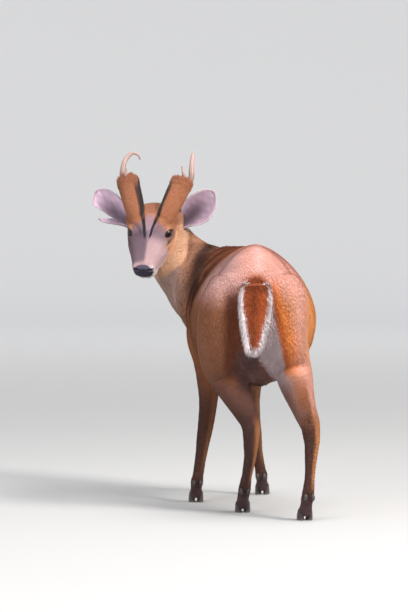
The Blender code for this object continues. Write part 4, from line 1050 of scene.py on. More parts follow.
@dataclass
class Skin:
    """One closed skin over trunk, neck, head, legs, pedicles and tail."""

    voxel: float = 0.0019
    overlap: float = 0.0006
    triangles: int = 150_000
    head_rows: tuple[Row, ...] = (
        (-0.020, 0.018, -0.030, 0.0260, -0.004),
        (0.000, 0.034, -0.044, 0.0450, -0.002),
        (0.025, 0.043, -0.056, 0.0520, 0.000),
        (0.055, 0.045, -0.059, 0.0545, 0.006),
        (0.085, 0.040, -0.055, 0.0520, 0.006),
        (0.110, 0.0315, -0.0490, 0.0465, 0.000),
        (0.135, 0.0250, -0.0430, 0.0385, -0.005),
        (0.158, 0.0200, -0.0380, 0.0320, -0.006),
        (0.176, 0.0165, -0.0335, 0.0285, -0.006),
        (0.188, 0.0120, -0.0260, 0.0230, -0.006),
        (0.195, 0.0040, -0.0150, 0.0120, -0.005),
    )
    forms: tuple[tuple[Row, Row], ...] = (
        ((0.0743, 0.0381, 0.0158), (0.0220, 0.0165, 0.0170)),
        ((0.050, 0.036, -0.0220), (0.0340, 0.0170, 0.0310)),
        ((0.013, 0.050, -0.0010), (0.0280, 0.0170, 0.0280)),
        ((0.184, 0.0145, -0.0010), (0.0110, 0.0115, 0.0130)),
        ((0.160, 0.0060, -0.0340), (0.0220, 0.0125, 0.0110)),
        ((0.016, 0.0540, -0.0200), (0.0170, 0.0130, 0.0140)),
    )
    tail_share: Row = (0.78, 0.80)
    tail_shorter: float = 0.012
    neck_folds: tuple[tuple[Row, Row], ...] = (
        ((0.046, 0.041, -0.0550), (0.0340, 0.0310, 0.0480)),
        ((0.080, 0.0310, -0.0775), (0.0250, 0.0220, 0.0280)),
    )
    ridge: tuple[Row, ...] = (
        (0.088, 0.0175, 0.0375, 0.0062), (0.106, 0.0100, 0.0315, 0.0042), (0.122, 0.0050, 0.0270, 0.0022))
    stalk: tuple[Row, ...] = (
        (-0.012, 0.0095), (-0.004, 0.0175), (0.012, 0.0215), (0.034, 0.0236), (0.066, 0.0250),
        (0.088, 0.0255), (0.098, 0.0238), (0.104, 0.0150))
    piece: bpy.types.Object = field(init=False, default=None)
    lay: Lay = field(init=False, default=None)
    before_sockets: Array = field(init=False, default=None)

    def node_copy(self, name: str) -> bpy.types.Object:
        """Merged copy of a flesh node, a little larger; the face is kept under the finer one."""
        bm = bmesh.new()
        bm.from_mesh(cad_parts[name].data)
        bmesh.ops.remove_doubles(bm, verts=bm.verts, dist=1e-5)
        mesh = bpy.data.meshes.new(name + "_copy")
        bm.to_mesh(mesh)
        bm.free()
        piece = link_mesh(name + "_copy", mesh)
        points = points_of(piece)
        grow = np.full(len(points), self.overlap)
        if name == "head":
            grow -= (self.overlap + 0.0028) * ease(-0.012, 0.010, HEAD.local(points)[:, 0])
        set_points(piece, points + points_of(piece, "normal") * grow[:, None])
        return piece

    def face_pieces(self) -> list[bpy.types.Object]:
        """Superelliptic head loft, the swellings of the face, ridges, pedicles and the core of the tail."""
        rows = smooth_rows(self.head_rows, 6)
        angle = np.linspace(0, 2 * math.pi, 72, endpoint=False)
        power = np.where(np.sin(angle) > 0, 2 / 2.25, 2 / 2.80)
        wide = np.sign(np.cos(angle)) * np.abs(np.cos(angle)) ** power
        tall = np.sign(np.sin(angle)) * np.abs(np.sin(angle)) ** power
        reach = np.where(tall > 0, rows[:, 1:2] - rows[:, 4:5], rows[:, 4:5] - rows[:, 2:3])
        ahead = np.repeat(rows[:, :1], len(angle), 1)
        local = np.stack([ahead, rows[:, 3:4] * wide, rows[:, 4:5] + tall * reach], -1)
        pieces = [make_piece("head_core", *close_tube(HEAD.place(local)))]
        for side in Side:
            for centre, radii in self.forms:
                pieces.append(make_piece("form", *ball(HEAD.place(sided(centre, side)), radii, HEAD.axes)))
            foot, lean = pedicle_axis(side)
            start = [(*(foot + 0.018 * lean), 0.0180, 0.0180), (*foot, 0.0180, 0.0170)]
            rows = start + [(*HEAD.place(sided(row[:3], side)), row[3], row[3]) for row in self.ridge]
            pieces.append(make_piece("ridge", *tube(rows, HEAD.axes[1], 6, 24)))
            rows = [(*(foot + lean * along), radius, radius) for along, radius in self.stalk]
            pieces.append(make_piece("stalk", *tube(rows, HEAD.axes[1], 4, 32)))
        for centre, radii in self.neck_folds:
            axes = np.array([HEAD.heading, HEAD.axes[1], (0.0, 0.0, 1.0)])
            pieces.append(make_piece("neck_fold", *ball(HEAD.place(centre), radii, axes)))
        rows = np.array(TAIL)
        rows[:, :3] += SHIFT
        rows[:, 3:] *= self.tail_share
        rows[-1, 2] += self.tail_shorter
        pieces.append(make_piece("tail_core", *tube(rows, (0, 1, 0), 5, 32)))
        return pieces

    def flesh(self) -> list[str]:
        """Names of the nodes of trunk, neck, head and legs."""
        starts, ends = ("torso", "neck", "head"), ("thigh", "shank", "cannon", "upper", "forearm")
        return sorted(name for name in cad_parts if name.startswith(starts) or name.endswith(ends))

    def fuse(self) -> bpy.types.Object:
        """Joins every piece of flesh into one closed surface of small even faces."""
        pieces = [self.node_copy(name) for name in self.flesh()] + self.face_pieces()
        bm = bmesh.new()
        for piece in pieces:
            bm.from_mesh(piece.data)
            bpy.data.objects.remove(piece)
        mesh = bpy.data.meshes.new("skin")
        bm.to_mesh(mesh)
        bm.free()
        skin = link_mesh("skin", mesh)
        remesh = skin.modifiers.new("fuse", "REMESH")
        remesh.mode = "VOXEL"
        remesh.voxel_size = self.voxel
        apply_modifiers(skin)
        return skin

    def relax(self, skin: bpy.types.Object, weights: Array, steps: int) -> None:
        """Moves each point half way to the mean of its neighbours, times its weight, steps times."""
        mesh = skin.data
        edges = np.empty(len(mesh.edges) * 2, np.int32)
        mesh.edges.foreach_get("vertices", edges)
        a, b = edges.reshape(-1, 2).T
        points = points_of(skin)
        size = len(points)
        count = np.maximum(np.bincount(a, minlength=size) + np.bincount(b, minlength=size), 1)[:, None]
        for _ in range(steps):
            sums = [np.bincount(a, points[b, k], size) + np.bincount(b, points[a, k], size) for k in range(3)]
            points += 0.5 * weights[:, None] * (np.stack(sums, 1) / count - points)
        set_points(skin, points)

    def thin(self, skin: bpy.types.Object) -> None:
        """Fewer faces on the body, and nearly all of them kept on the head."""
        fine = Lay.over(skin).weight("head", "pedicle_left", "pedicle_right", "tail")
        group = skin.vertex_groups.new(name="thin")
        for low, high, weight in ((-1.0, 0.25, 1.0), (0.25, 0.6, 0.5), (0.6, 2.0, 0.12)):
            group.add(np.nonzero((fine >= low) & (fine < high))[0].tolist(), weight, "REPLACE")
        thin = skin.modifiers.new("thin", "DECIMATE")
        thin.ratio = self.triangles / (2 * len(skin.data.polygons))
        thin.vertex_group = "thin"
        thin.vertex_group_factor = 1.0
        thin.use_collapse_triangulate = True
        apply_modifiers(skin)
        skin.vertex_groups.clear()

    def refine(self, skin: bpy.types.Object) -> None:
        """Splits the faces round the eyes, nose and mouth once."""
        bm = bmesh.new()
        bm.from_mesh(skin.data)
        bmesh.ops.triangulate(bm, faces=bm.faces)
        bm.verts.ensure_lookup_table()
        points = points_of(skin)
        head = HEAD.local(points)
        near = (head[:, 0] > 0.150) & (np.abs(head[:, 2]) < 0.05) & (np.abs(head[:, 1]) < 0.05)
        for eye in EYES:
            near |= np.linalg.norm(points - eye.centre, axis=1) < 0.024
        chosen = set(np.nonzero(near)[0].tolist())
        edges = [e for e in bm.edges if e.verts[0].index in chosen and e.verts[1].index in chosen]
        bmesh.ops.subdivide_edges(bm, edges=edges, cuts=1, use_grid_fill=True)
        bmesh.ops.triangulate(bm, faces=bm.faces)
        bm.to_mesh(skin.data)
        bm.free()
        skin.data.update()

    def folds(self, lay: Lay) -> Array:
        """Soft creases round the root of the neck, on the side toward which it bends."""
        x, y, z = lay.stance.T
        both = lay.weight("neck") + lay.weight("trunk")
        mask = both * ease(0.02, 0.10, y) * ease(0.28, 0.38, z) * bell(x, 0.53, 0.085)
        run = x + 0.30 * (z - 0.45)
        return 0.0040 * mask * np.cos(2 * math.pi * run / 0.050)

    def build(self) -> bpy.types.Object:
        """Fuses, smooths, thins and presses in the skin, and dresses it.

        Returns:
            The skin.
        """
        skin = self.fuse()
        lay = Lay.over(skin)
        fine = ease(0.2, 0.6, lay.weight("head", "pedicle_left", "pedicle_right"))
        broad = ease(0.030, 0.085, lay.radius) * (1 - fine)
        self.relax(skin, broad, 45)
        self.relax(skin, np.ones(len(broad)), 5)
        self.thin(skin)
        self.refine(skin)
        self.relax(skin, ease(0.5, 0.9, Lay.over(skin).weight("head")) * 0.8, 3)
        lay = Lay.over(skin)
        self.before_sockets = lay.points + lay.normals * (self.folds(lay) - lay.depth())[:, None]
        set_points(skin, self.before_sockets)
        set_points(skin, Face().carve(self.before_sockets, points_of(skin, "normal")))
        skin.data.polygons.foreach_set("use_smooth", np.ones(len(skin.data.polygons), bool))
        self.lay = Lay.over(skin)
        set_tint(skin, MARKINGS.colours(self.lay) * 0.95)
        self.piece = HIDE.dress(skin, *self.flesh(), "tail", "pedicle_left", "pedicle_right")
        return skin


# The coat.


@dataclass(frozen=True)
class Lock:
    """Sizes of one kind of tuft."""

    width: float = 0.0019
    stray: float = 0.09
    rings: int = 1
    deep: float = 0.0006

    def spine(self) -> tuple[Row, ...]:
        """Stations from root to tip: share of the length, share of the width."""
        if self.rings == 1:
            return ((0.0, 0.0), (0.42, 1.0), (1.0, 0.0))
        return ((0.0, 0.0), (0.26, 1.0), (0.64, 0.75), (1.0, 0.0))


@dataclass(frozen=True)
class Tufts:
    """Root, skin normal, direction, length, height of the tip, colour and unwrapped place of each tuft."""

    roots: Array
    normals: Array
    lie: Array
    length: Array
    height: Array
    colours: Array
    patch: Array


@dataclass
class Coat:
    """Flat tapered tufts rooted in a surface, along the lie of the coat."""

    seed: int = 11
    parts: tuple[tuple[str, tuple[str, ...], int, float, Finish], ...] = (
        ("coat_trunk_right", ("trunk",), 32_000, 0.0021, HAIR),
        ("coat_trunk_left", ("trunk",), 32_000, 0.0021, HAIR),
        ("coat_neck", ("neck",), 18_000, 0.0019, HAIR),
        ("coat_head", ("head",), 33_000, 0.0012, HAIR),
        ("coat_hind_left", ("hind_left",), 20_000, 0.0019, DARK_HAIR),
        ("coat_hind_right", ("hind_right",), 20_000, 0.0019, DARK_HAIR),
        ("coat_fore_left_right", ("fore_left", "fore_right"), 19_000, 0.0018, DARK_HAIR),
        ("coat_pedicle_left_right", ("pedicle_left", "pedicle_right"), 11_000, 0.0014, HAIR),
    )

    def roots(
        self, points: Array, normals: Array, faces: Array, weight: Array, count: int
    ) -> tuple[Array, Array]:
        """Draws spots on the faces, as many on each as its area times its weight.

        Args:
            points: Points of the surface.
            normals: Their normals.
            faces: Triangles.
            weight: How closely the tufts stand, a number for each face.
            count: Number of tufts.

        Returns:
            Roots and unit normals.
        """
        rng = np.random.default_rng(self.seed)
        a, b, c = (points[faces[:, k]] for k in range(3))
        area = np.linalg.norm(np.cross(b - a, c - a), axis=1) * weight
        steps = (np.arange(count) + rng.random(count)) / count
        chosen = np.searchsorted(np.cumsum(area) / area.sum(), steps).clip(0, len(faces) - 1)
        r, s = np.sqrt(rng.random(count))[:, None], rng.random(count)[:, None]
        shares = (1 - r, r * (1 - s), r * s)
        spot = sum(w * points[faces[chosen, k]] for k, w in enumerate(shares))
        normal = sum(w * normals[faces[chosen, k]] for k, w in enumerate(shares))
        return spot, unit(normal)

    def grow(self, name: str, tufts: Tufts, lock: Lock, finish: Finish) -> bpy.types.Object:
        """Builds one piece of tufts: a root point, rings of three points and a tip.

        Args:
            name: Name of the piece; its length also seeds the draw.
            tufts: Where and how the tufts grow.
            lock: Sizes of the tuft.
            finish: What it is made of.

        Returns:
            The piece.
        """
        rng = np.random.default_rng(self.seed + len(name))
        roots, normals, lie = tufts.roots, tufts.normals, tufts.lie
        count = len(roots)
        aside = np.cross(normals, lie)
        lie = unit(lie + aside * rng.normal(0, lock.stray, (count, 1)))
        aside = unit(np.cross(normals, lie))
        length = (tufts.length * rng.uniform(0.75, 1.2, count))[:, None]
        height = (tufts.height * rng.uniform(0.6, 1.3, count))[:, None]
        half = 0.5 * lock.width * rng.uniform(0.75, 1.25, (count, 1))
        bend = length * rng.normal(0, 0.06, (count, 1))
        points, places = [], []
        for share, wide in lock.spine():
            rise = height * (1 - (1 - share) ** 2) - lock.deep * (share == 0.0)
            centre = roots + lie * length * share + normals * rise
            centre = centre + aside * bend * share**2
            if wide:
                ridge = centre + normals * half * 0.24 * wide
                points += [centre - aside * half * wide, ridge, centre + aside * half * wide]
                places += [(share, -wide), (share, 0.0), (share, wide)]
            else:
                points.append(centre)
                places.append((share, 0.0))
        each = len(points)
        last = each - 1
        faces = [(0, 1, 2), (0, 2, 3), (0, 3, 1)]
        for r in range(1, last - 3, 3):
            for p, q in ((0, 1), (1, 2), (2, 0)):
                faces += [(r + p, r + 3 + p, r + 3 + q), (r + p, r + 3 + q, r + q)]
        end = last - 3
        faces += [(end, last, end + 1), (end + 1, last, end + 2), (end + 2, last, end)]
        step = (np.arange(count) * each)[:, None, None]
        all_faces = (np.array(faces)[None] + step).reshape(-1, 3)
        piece = make_piece(name, np.stack(points, 1).reshape(-1, 3), all_faces, mend=False)
        share = np.array([p[0] for p in places])
        tone = (0.93 + 0.12 * share)[None, :, None] * rng.normal(1, 0.045, (count, 1, 1))
        set_tint(piece, (tufts.colours[:, None] * tone).reshape(-1, 3))
        spread = np.array([(0.0015 * w, 0.003 * (s - 0.5)) for s, w in places])
        uv = np.clip(tufts.patch[:, None] * 0.98 + 0.01 + spread[None], 0, 1).reshape(-1, 2)
        loops = np.empty(len(piece.data.loops), np.int32)
        piece.data.loops.foreach_get("vertex_index", loops)
        layer = piece.data.uv_layers.new(name="OFBake")
        layer.data.foreach_set("uv", uv[loops].astype(np.float32).ravel())
        return finish.dress(piece)

    def cover(self, skin: Skin) -> None:
        """Covers the skin part by part, short on the face and feet."""
        points, normals, faces = skin.lay.points, skin.lay.normals, faces_of(skin.piece)
        middle = Lay(points[faces].mean(1), unit(normals[faces].mean(1)))
        bare = self.bare(middle)
        for name, parts, count, width, finish in self.parts:
            indices = [NAMES.index(part) for part in parts]
            here = np.isin(middle.part, indices)
            if parts == ("trunk",):
                here &= (middle.stance[:, 1] > 0) == name.endswith("left")
            weight = here * (1 - bare) * (0.7 + 0.3 * ease(0.09, 0.03, middle.radius))
            lay = Lay(*self.roots(points, normals, faces, weight, count))
            self.strand(name, lay, indices, Lock(width=width), finish)
        self.tail(skin, faces, middle)
        self.crowns()

    def strand(self, name: str, lay: Lay, indices: list[int], lock: Lock, finish: Finish) -> None:
        """Grows one part's tufts from the lie, length, depth and markings at their roots."""
        slot = np.zeros(len(lay.points))
        turn, along = np.full(len(slot), 0.5), np.full(len(slot), 0.5)
        for order, index in enumerate(indices):
            own, measure = lay.part == index, lay.measures[index]
            slot[own], turn[own], along[own] = order, measure.angle[own], measure.along[own]
        patch = np.stack([(slot + turn) / len(indices), along], 1)
        self.grow(name, self.laid(lay, lay.depth(), patch), lock, finish)

    def laid(self, lay: Lay, height: Array, patch: Array) -> Tufts:
        """Tufts with the lie, length and markings of the coat."""
        colours = MARKINGS.colours(lay)
        return Tufts(lay.points, lay.normals, lay.lie(), lay.hair_length(), height, colours, patch)

    def bare(self, lay: Lay) -> Array:
        """1 where no hair grows: the pad of the nose, the slit between the lids and the soles."""
        bare = ease(1.12, 0.95, nose_pad(lay.head))
        for eye in EYES:
            local = eye.local(lay.points)
            near = np.linalg.norm(local, axis=1) < 0.03
            bare = np.maximum(bare, ease(1.75, 1.55, eye.slit(local)) * near)
        return np.maximum(bare, ease(0.016, 0.012, lay.stance[:, 2]))

    def tail(self, skin: Skin, faces: Array, middle: Lay) -> None:
        """Long overlapping locks on the tail that part into a fringe at its border and tip."""
        mask = (middle.part == TAIL_LINE) * 1.0
        edge = 1 + 3.0 * ease(0.55, 0.9, self.border(middle))
        lay = Lay(*self.roots(skin.lay.points, skin.lay.normals, faces, mask * edge, 11_000))
        m = lay.measures[TAIL_LINE]
        sideward = ease(0.3, 0.9, np.abs(lay.normals[:, 1]))
        fringe = ease(0.55, 0.95, self.border(lay)) * sideward * ease(0.05, 0.20, m.along)
        height = 0.0013 + np.where(m.sideways > 0, 0.0085, 0.0050) * fringe
        patch = np.stack([m.angle, m.along], 1)
        self.grow("coat_tail", self.laid(lay, height, patch), Lock(stray=0.14, rings=2), HAIR)

    def border(self, lay: Lay) -> Array:
        """1 on the side edges of the tail's core, 0 along its middle."""
        m = lay.measures[TAIL_LINE]
        half = np.interp(m.along, (0.0, 0.25, 0.5, 0.75, 1.0), (0.021, 0.0255, 0.0225, 0.016, 0.005))
        return np.abs(m.sideways) / half

    def crowns(self) -> None:
        """Ragged crown of longer hair round the foot of each antler."""
        rng = np.random.default_rng(5)
        for side in Side:
            foot, lean = pedicle_axis(side)
            count = 2_600
            turn = rng.uniform(0, 2 * math.pi, count)
            first = unit(HEAD.axes[1] - dot(HEAD.axes[1], lean) * lean)
            second = np.cross(lean, first)
            out = np.outer(np.cos(turn), first) + np.outer(np.sin(turn), second)
            drop = rng.uniform(0.0, 0.020, count)
            radius = np.where(drop < 0.005, rng.uniform(0.50, 1.0, count), 1.0) * 0.0242
            roots = foot + lean * (PEDICLE_TOP - 0.008) - np.outer(drop, lean) + out * radius[:, None]
            lie = unit(lean + out * rng.normal(0.03, 0.08, (count, 1)))
            clump = 0.55 + 0.45 * np.sin(5 * turn + 1.7 * side.value) * np.sin(3 * turn + 0.6)
            patch = np.stack([turn / (2 * math.pi), drop / 0.02], 1)
            colours = MARKINGS.colours(Lay(roots, out))
            tufts = Tufts(roots, out, lie, 0.006 + 0.007 * clump, np.full(count, 0.0015), colours, patch)
            self.grow("crown_" + side.word, tufts, Lock(width=0.0015, rings=2, stray=0.12), HAIR)


# Ears.


@dataclass(frozen=True)
class Ear:
    """A leaf-shaped cup: an arc of each row's half width and angle, carried out along the ear's lean."""

    side: Side
    lean: Row
    foot: Row = (0.016, 0.0555, -0.0200)
    opening: Row = (0.74, 0.17, 0.65)
    length: float = 0.111
    bow: float = 0.0
    wall: float = 0.0026
    rows: tuple[Row, ...] = (
        (0.00, 0.0230, 130), (0.10, 0.0265, 120), (0.25, 0.0350, 95), (0.42, 0.0405, 70), (0.58, 0.0395, 58),
        (0.74, 0.0330, 50), (0.87, 0.0230, 42), (0.96, 0.0115, 36), (1.00, 0.0030, 32))
    tear: tuple[Row, Row] = ((0.709, -0.0389), (0.349, -0.0182))
    tear_width: float = 0.0189

    def axes(self) -> Array:
        """Rows are the lean, the direction across the ear, and the way it opens."""
        lean = HEAD.turn(unit(sided(self.lean, self.side)))
        opening = HEAD.turn(unit(self.opening))
        opening = unit(opening - dot(opening, lean) * lean)
        return np.array([lean, np.cross(lean, opening), opening])

    def build(self, coat: Coat) -> None:
        """Makes the cup, tears the right one, and grows its hair.

        Args:
            coat: What the hair is grown with.
        """
        lean, across, opening = self.axes()
        foot = HEAD.place(sided(self.foot, self.side))
        rows = smooth_rows(self.rows, 5)
        spread = np.sin(np.linspace(-math.pi / 2, math.pi / 2, 45))[None, :]
        share, half, angle = rows[:, 0:1], np.maximum(rows[:, 1:2], 0.002), np.radians(rows[:, 2:3])
        radius, turn = half / angle, angle * spread
        rib = 0.0011 * np.cos(3 * math.pi * spread) * ease(0.75, 0.2, share) * ease(1.0, 0.7, np.abs(spread))
        front_r, wall = radius - rib, self.wall * (1 - 0.6 * np.abs(spread) ** 3) * (1 - 0.45 * share)

        def sheet(reach: Array) -> Array:
            """Rows of the cup at a distance from the axis of its arc."""
            side = (reach * np.sin(turn) + self.bow * np.sin(math.pi * share))[..., None] * across
            deep = (radius - reach * np.cos(turn))[..., None] * opening
            return foot + (lean * self.length * share)[:, None] + side + deep

        front, back = sheet(front_r), sheet(radius + wall)
        rings = np.concatenate([front, back[:, ::-1]], 1)
        points, faces = close_tube(rings)
        piece = make_piece("ear_skin_" + self.side.word, points, faces)
        if self.side is Side.RIGHT:
            self.tear_edge(piece, foot)
        points, normals, faces = points_of(piece), points_of(piece, "normal"), faces_of(piece)
        set_tint(piece, self.tints(points, foot)[0] * 0.9)
        EAR_SKIN.dress(piece, "ear_" + self.side.word)
        _, inside, rim = self.tints(points[faces].mean(1), foot)
        weight = (1 - 0.72 * inside) + 1.2 * rim
        spot, normal = coat.roots(points, normals, faces, weight, 7_000)
        colours, inside, rim = self.tints(spot, foot)
        local = (spot - foot) @ self.axes().T
        flow = lean + np.outer(local[:, 1] / 0.05, across)
        lie = unit(flow - normal * dot(flow, normal)[:, None])
        length = 0.0036 + 0.0022 * rim + 0.001 * inside
        patch = np.stack([np.where(inside > 0.5, 0.25, 0.75) + local[:, 1] / 0.2, local[:, 0] / 0.115], 1)
        height = np.full(len(spot), 0.0005)
        tufts = Tufts(spot, normal, lie, length, height, colours, np.clip(patch, 0, 1))
        coat.grow("coat_ear_" + self.side.word, tufts, Lock(width=0.0011, stray=0.2), HAIR)

    def tear_edge(self, piece: bpy.types.Object, foot: Array) -> None:
        """Cuts a wedge that splits a strip off the lower edge."""
        lean, across, opening = self.axes()
        mouth, end = (foot + lean * self.length * a + across * b for a, b in self.tear)
        inward = unit(end - mouth)
        side = np.cross(inward, opening) * self.tear_width
        corners = np.array([mouth - inward * 0.012 + side, mouth - inward * 0.012 - side, end])
        points = np.concatenate([corners - opening * 0.03, corners + opening * 0.05])
        walls = [(0, 3, 4), (0, 4, 1), (1, 4, 5), (1, 5, 2), (2, 5, 3), (2, 3, 0)]
        faces = np.array([(0, 1, 2), (5, 4, 3), *walls])
        wedge = make_piece("wedge", points, faces)
        cut = piece.modifiers.new("tear", "BOOLEAN")
        cut.operation, cut.object, cut.solver = "DIFFERENCE", wedge, "EXACT"
        apply_modifiers(piece)
        bpy.data.objects.remove(wedge)

    def tints(self, points: Array, foot: Array) -> tuple[Array, Array, Array]:
        """Colours of the ear, with painted shade deep in the cup and the two ears painted lighter and darker
        for the light, and masks of its inside and its rim.
        """
        local = (points - foot) @ self.axes().T
        share = np.clip(local[:, 0] / self.length, 0, 1)
        local[:, 1] -= self.bow * np.sin(math.pi * share)
        shares, halves, angles = np.array(self.rows).T
        angle = np.radians(np.interp(share, shares, angles))
        radius = np.interp(share, shares, halves) / angle
        turn = np.arctan2(local[:, 1], radius - local[:, 2])
        slack = 0.0006 + 0.0009 * ease(0.75, 0.2, share) * ease(1.0, 0.7, np.abs(turn) / angle)
        inside = (np.hypot(local[:, 1], radius - local[:, 2]) < radius + slack).astype(float)
        rim = np.maximum(ease(0.80, 0.97, np.abs(turn) / angle), ease(0.93, 0.99, share))
        p = PALETTE
        # Painted shade deep in the cup, toward its middle and its base.
        hollow_shade = ease(0.75, 0.05, np.abs(turn) / angle) * ease(0.95, 0.45, share)
        # Painted light and shade: the right ear's inside is painted lighter and the left ear's darker, as the
        # light falls from the right.
        shade = 1.15 if self.side is Side.RIGHT else 0.66
        hollow = mix(plain(p.ear_inside, len(points)), p.grey, hollow_shade * 0.9) * shade
        colours = plain(p.ear_back, len(points)) * (1 - inside[:, None]) + hollow * inside[:, None]
        colours = mix(colours, p.ear_edge, rim * 0.6)
        return colours * (1 + 0.12 * noise(points, 0.02, 9))[:, None], inside, rim


# Antlers and hooves.


@dataclass(frozen=True)
class Antlers:
    """Hooked beams with a brow tine, as tubes with grooves and pearls."""

    beams: tuple[tuple[Side, tuple[Row, ...]], ...] = (
        (Side.RIGHT, (
            (-0.008, -0.002, 0.000, 0.0076), (0.005, -0.002, 0.001, 0.0074), (0.017, -0.0015, 0.003, 0.0067),
            (0.034, 0.0015, 0.008, 0.0060), (0.047, 0.0095, 0.014, 0.0052), (0.0535, 0.021, 0.018, 0.0041),
            (0.048, 0.032, 0.018, 0.0028), (0.039, 0.036, 0.015, 0.0012))),
        (Side.LEFT, (
            (-0.014, 0.005, 0.000, 0.0072), (0.003, 0.000, 0.002, 0.0074), (0.017, 0.000, 0.005, 0.0067),
            (0.034, 0.0005, 0.012, 0.0060), (0.049, 0.001, 0.024, 0.0052), (0.055, 0.003, 0.036, 0.0040),
            (0.051, 0.005, 0.047, 0.0028), (0.043, 0.006, 0.052, 0.0012))),
    )
    tines: tuple[tuple[Row, ...], ...] = (
        ((-0.004, 0.0050, -0.0060, 0.0052), (-0.007, 0.0080, -0.0190, 0.0050),
         (0.003, 0.0105, -0.0255, 0.0036), (0.0165, 0.0125, -0.0265, 0.0010)),
        ((-0.006, 0.0100, -0.0100, 0.0052), (0.003, 0.0135, -0.0130, 0.0050),
         (0.014, 0.0165, -0.0140, 0.0036), (0.026, 0.0195, -0.0140, 0.0010)),
    )
    outward: tuple[float, float] = (0.0071, 0.0165)

    def grooved(self, name: str, rows: Array, node: str) -> None:
        """Tube whose radius is cut by long grooves, raised by pearls low down and smooth at the tip."""
        fine = smooth_rows(rows, 10)
        around, count = 40, len(fine)
        tangents = unit(np.gradient(fine[:, :3], axis=0))
        first = unit(HEAD.heading - tangents * (tangents @ HEAD.heading)[:, None])
        second = np.cross(tangents, first)
        angle = np.linspace(0, 2 * math.pi, around, endpoint=False)[None, :]
        run = np.linspace(0, 1, count)[:, None]
        grooves = 0.055 * np.abs(np.sin(4 * angle + 2.2 * run + 0.8 * np.sin(9 * run))) ** 0.7
        pearls = 0.06 * np.maximum(np.sin(11 * angle + 40 * run) * np.sin(70 * run + 3 * angle), 0)
        reach = fine[:, 3:4] * (1 - grooves * ease(1.0, 0.75, run) + pearls * ease(0.6, 0.15, run))
        outward = np.cos(angle)[..., None] * first[:, None] + np.sin(angle)[..., None] * second[:, None]
        rings = fine[:, None, :3] + reach[..., None] * outward
        piece = make_piece(name, *close_tube(rings))
        tone = np.concatenate([[0.0], np.repeat(run[:, 0], around), [1.0]])
        cut = np.concatenate([[0.0], (grooves / 0.055).ravel(), [0.0]])
        colours = plain((0.44, 0.30, 0.26), len(tone))
        colours = mix(colours, (0.25, 0.16, 0.13), ease(0.45, 0.0, tone) * 0.7)
        colours = mix(colours, (0.20, 0.13, 0.12), ease(0.45, 1.0, cut) * 0.6)
        colours = mix(colours, (0.10, 0.06, 0.05), ease(0.86, 0.97, tone) * 0.7)
        set_tint(piece, colours)
        ANTLER.dress(piece, node)

    def build(self) -> None:
        """Makes both beams and both tines."""
        for (side, beam), tine, outward in zip(self.beams, self.tines, self.outward):
            foot, lean = pedicle_axis(side)
            inward = HEAD.axes[1] * -side.value
            top = foot + lean * ANTLER_SEAT - inward * outward
            axes = np.array([(0.0, 0.0, 1.0), inward, -HEAD.heading])
            for label, node, rows in (("beam_", "antler_beam_", beam), ("tine_", "brow_tine_", tine)):
                rows = np.array(rows)
                placed = np.hstack([top + rows[:, :3] @ axes, rows[:, 3:]])
                self.grooved(label + side.word, placed, node + side.word)


@dataclass(frozen=True)
class Foot:
    """Two claws and two dewclaws under one leg."""

    leg: str
    end: Row
    fetlock: Row
    step: Row
    claw: tuple[Row, ...] = (
        (0.0000, 0.0385, 0.0142, 0.0000), (0.0025, 0.0390, 0.0146, 0.0000), (0.0110, 0.0345, 0.0140, 0.0022),
        (0.0190, 0.0290, 0.0128, 0.0046), (0.0240, 0.0235, 0.0105, 0.0060))
    advance: float = 0.0090
    apart: float = 0.0168
    toe_out: float = math.radians(2)
    dewclaw: Row = (0.0055, 0.0045, 0.0080)
    dewclaw_apart: float = 0.0150
    dewclaw_back: float = 0.0150
    dewclaw_drop: float = 0.004

    def build(self) -> None:
        """Carries the claw's outline up from the sole, with growth rings, and rounds the dewclaws."""
        heading = unit((*self.step, 0.0))
        across = np.array([-heading[1], heading[0], 0.0])
        for word, sign in (("left", 1), ("right", -1)):
            toe = unit(heading * math.cos(self.toe_out) + across * sign * math.sin(self.toe_out))
            toe_side = np.array([-toe[1], toe[0], 0.0])
            at = np.array(self.end) + SHIFT + heading * self.advance + across * sign * self.apart / 2
            rows = smooth_rows(self.claw, 6)
            angle = np.linspace(0, 2 * math.pi, 40, endpoint=False)[None, :]
            ring = 1 + 0.012 * np.sin(rows[:, :1] * 2600) * ease(0.0, 0.004, rows[:, :1])
            along = rows[:, 1:2] / 2 * np.cos(angle) * ring - rows[:, 3:4]
            wide = rows[:, 2:3] / 2 * np.sin(angle) * (1 - 0.55 * np.clip(np.cos(angle), 0, 1) ** 2) * ring
            wide = wide + sign * 0.0012 * (1 - np.clip(np.cos(angle), 0, 1))
            level = np.array([*at[:2], 0.0]) + rows[:, None, :1] * np.array([0.0, 0.0, 1.0])
            points, faces = close_tube(level + along[..., None] * toe + wide[..., None] * toe_side)
            node = f"{self.leg}_claw_{word}"
            self.finish("hoof_" + node, points, faces, node)
            at = np.array(self.fetlock) + SHIFT - heading * self.dewclaw_back
            at = at + across * sign * self.dewclaw_apart / 2 - np.array([0, 0, self.dewclaw_drop])
            points, faces = ball(at, self.dewclaw, (heading, across, (0, 0, 1)), 16, 24)
            node = f"{self.leg}_dewclaw_{word}"
            self.finish("hoof_" + node, points, faces, node)

    def finish(self, name: str, points: Array, faces: Array, node: str) -> None:
        """Colours the horn, paler toward its wearing edge."""
        piece = make_piece(name, points, faces)
        placed = points_of(piece)
        colours = plain((0.045, 0.034, 0.034), len(placed))
        colours = mix(colours, (0.16, 0.12, 0.105), ease(0.006, 0.0, placed[:, 2]) * 0.7)
        set_tint(piece, colours * (1 + 0.2 * noise(placed * (1, 1, 6), 0.01, 6))[:, None])
        HORN.dress(piece, node)


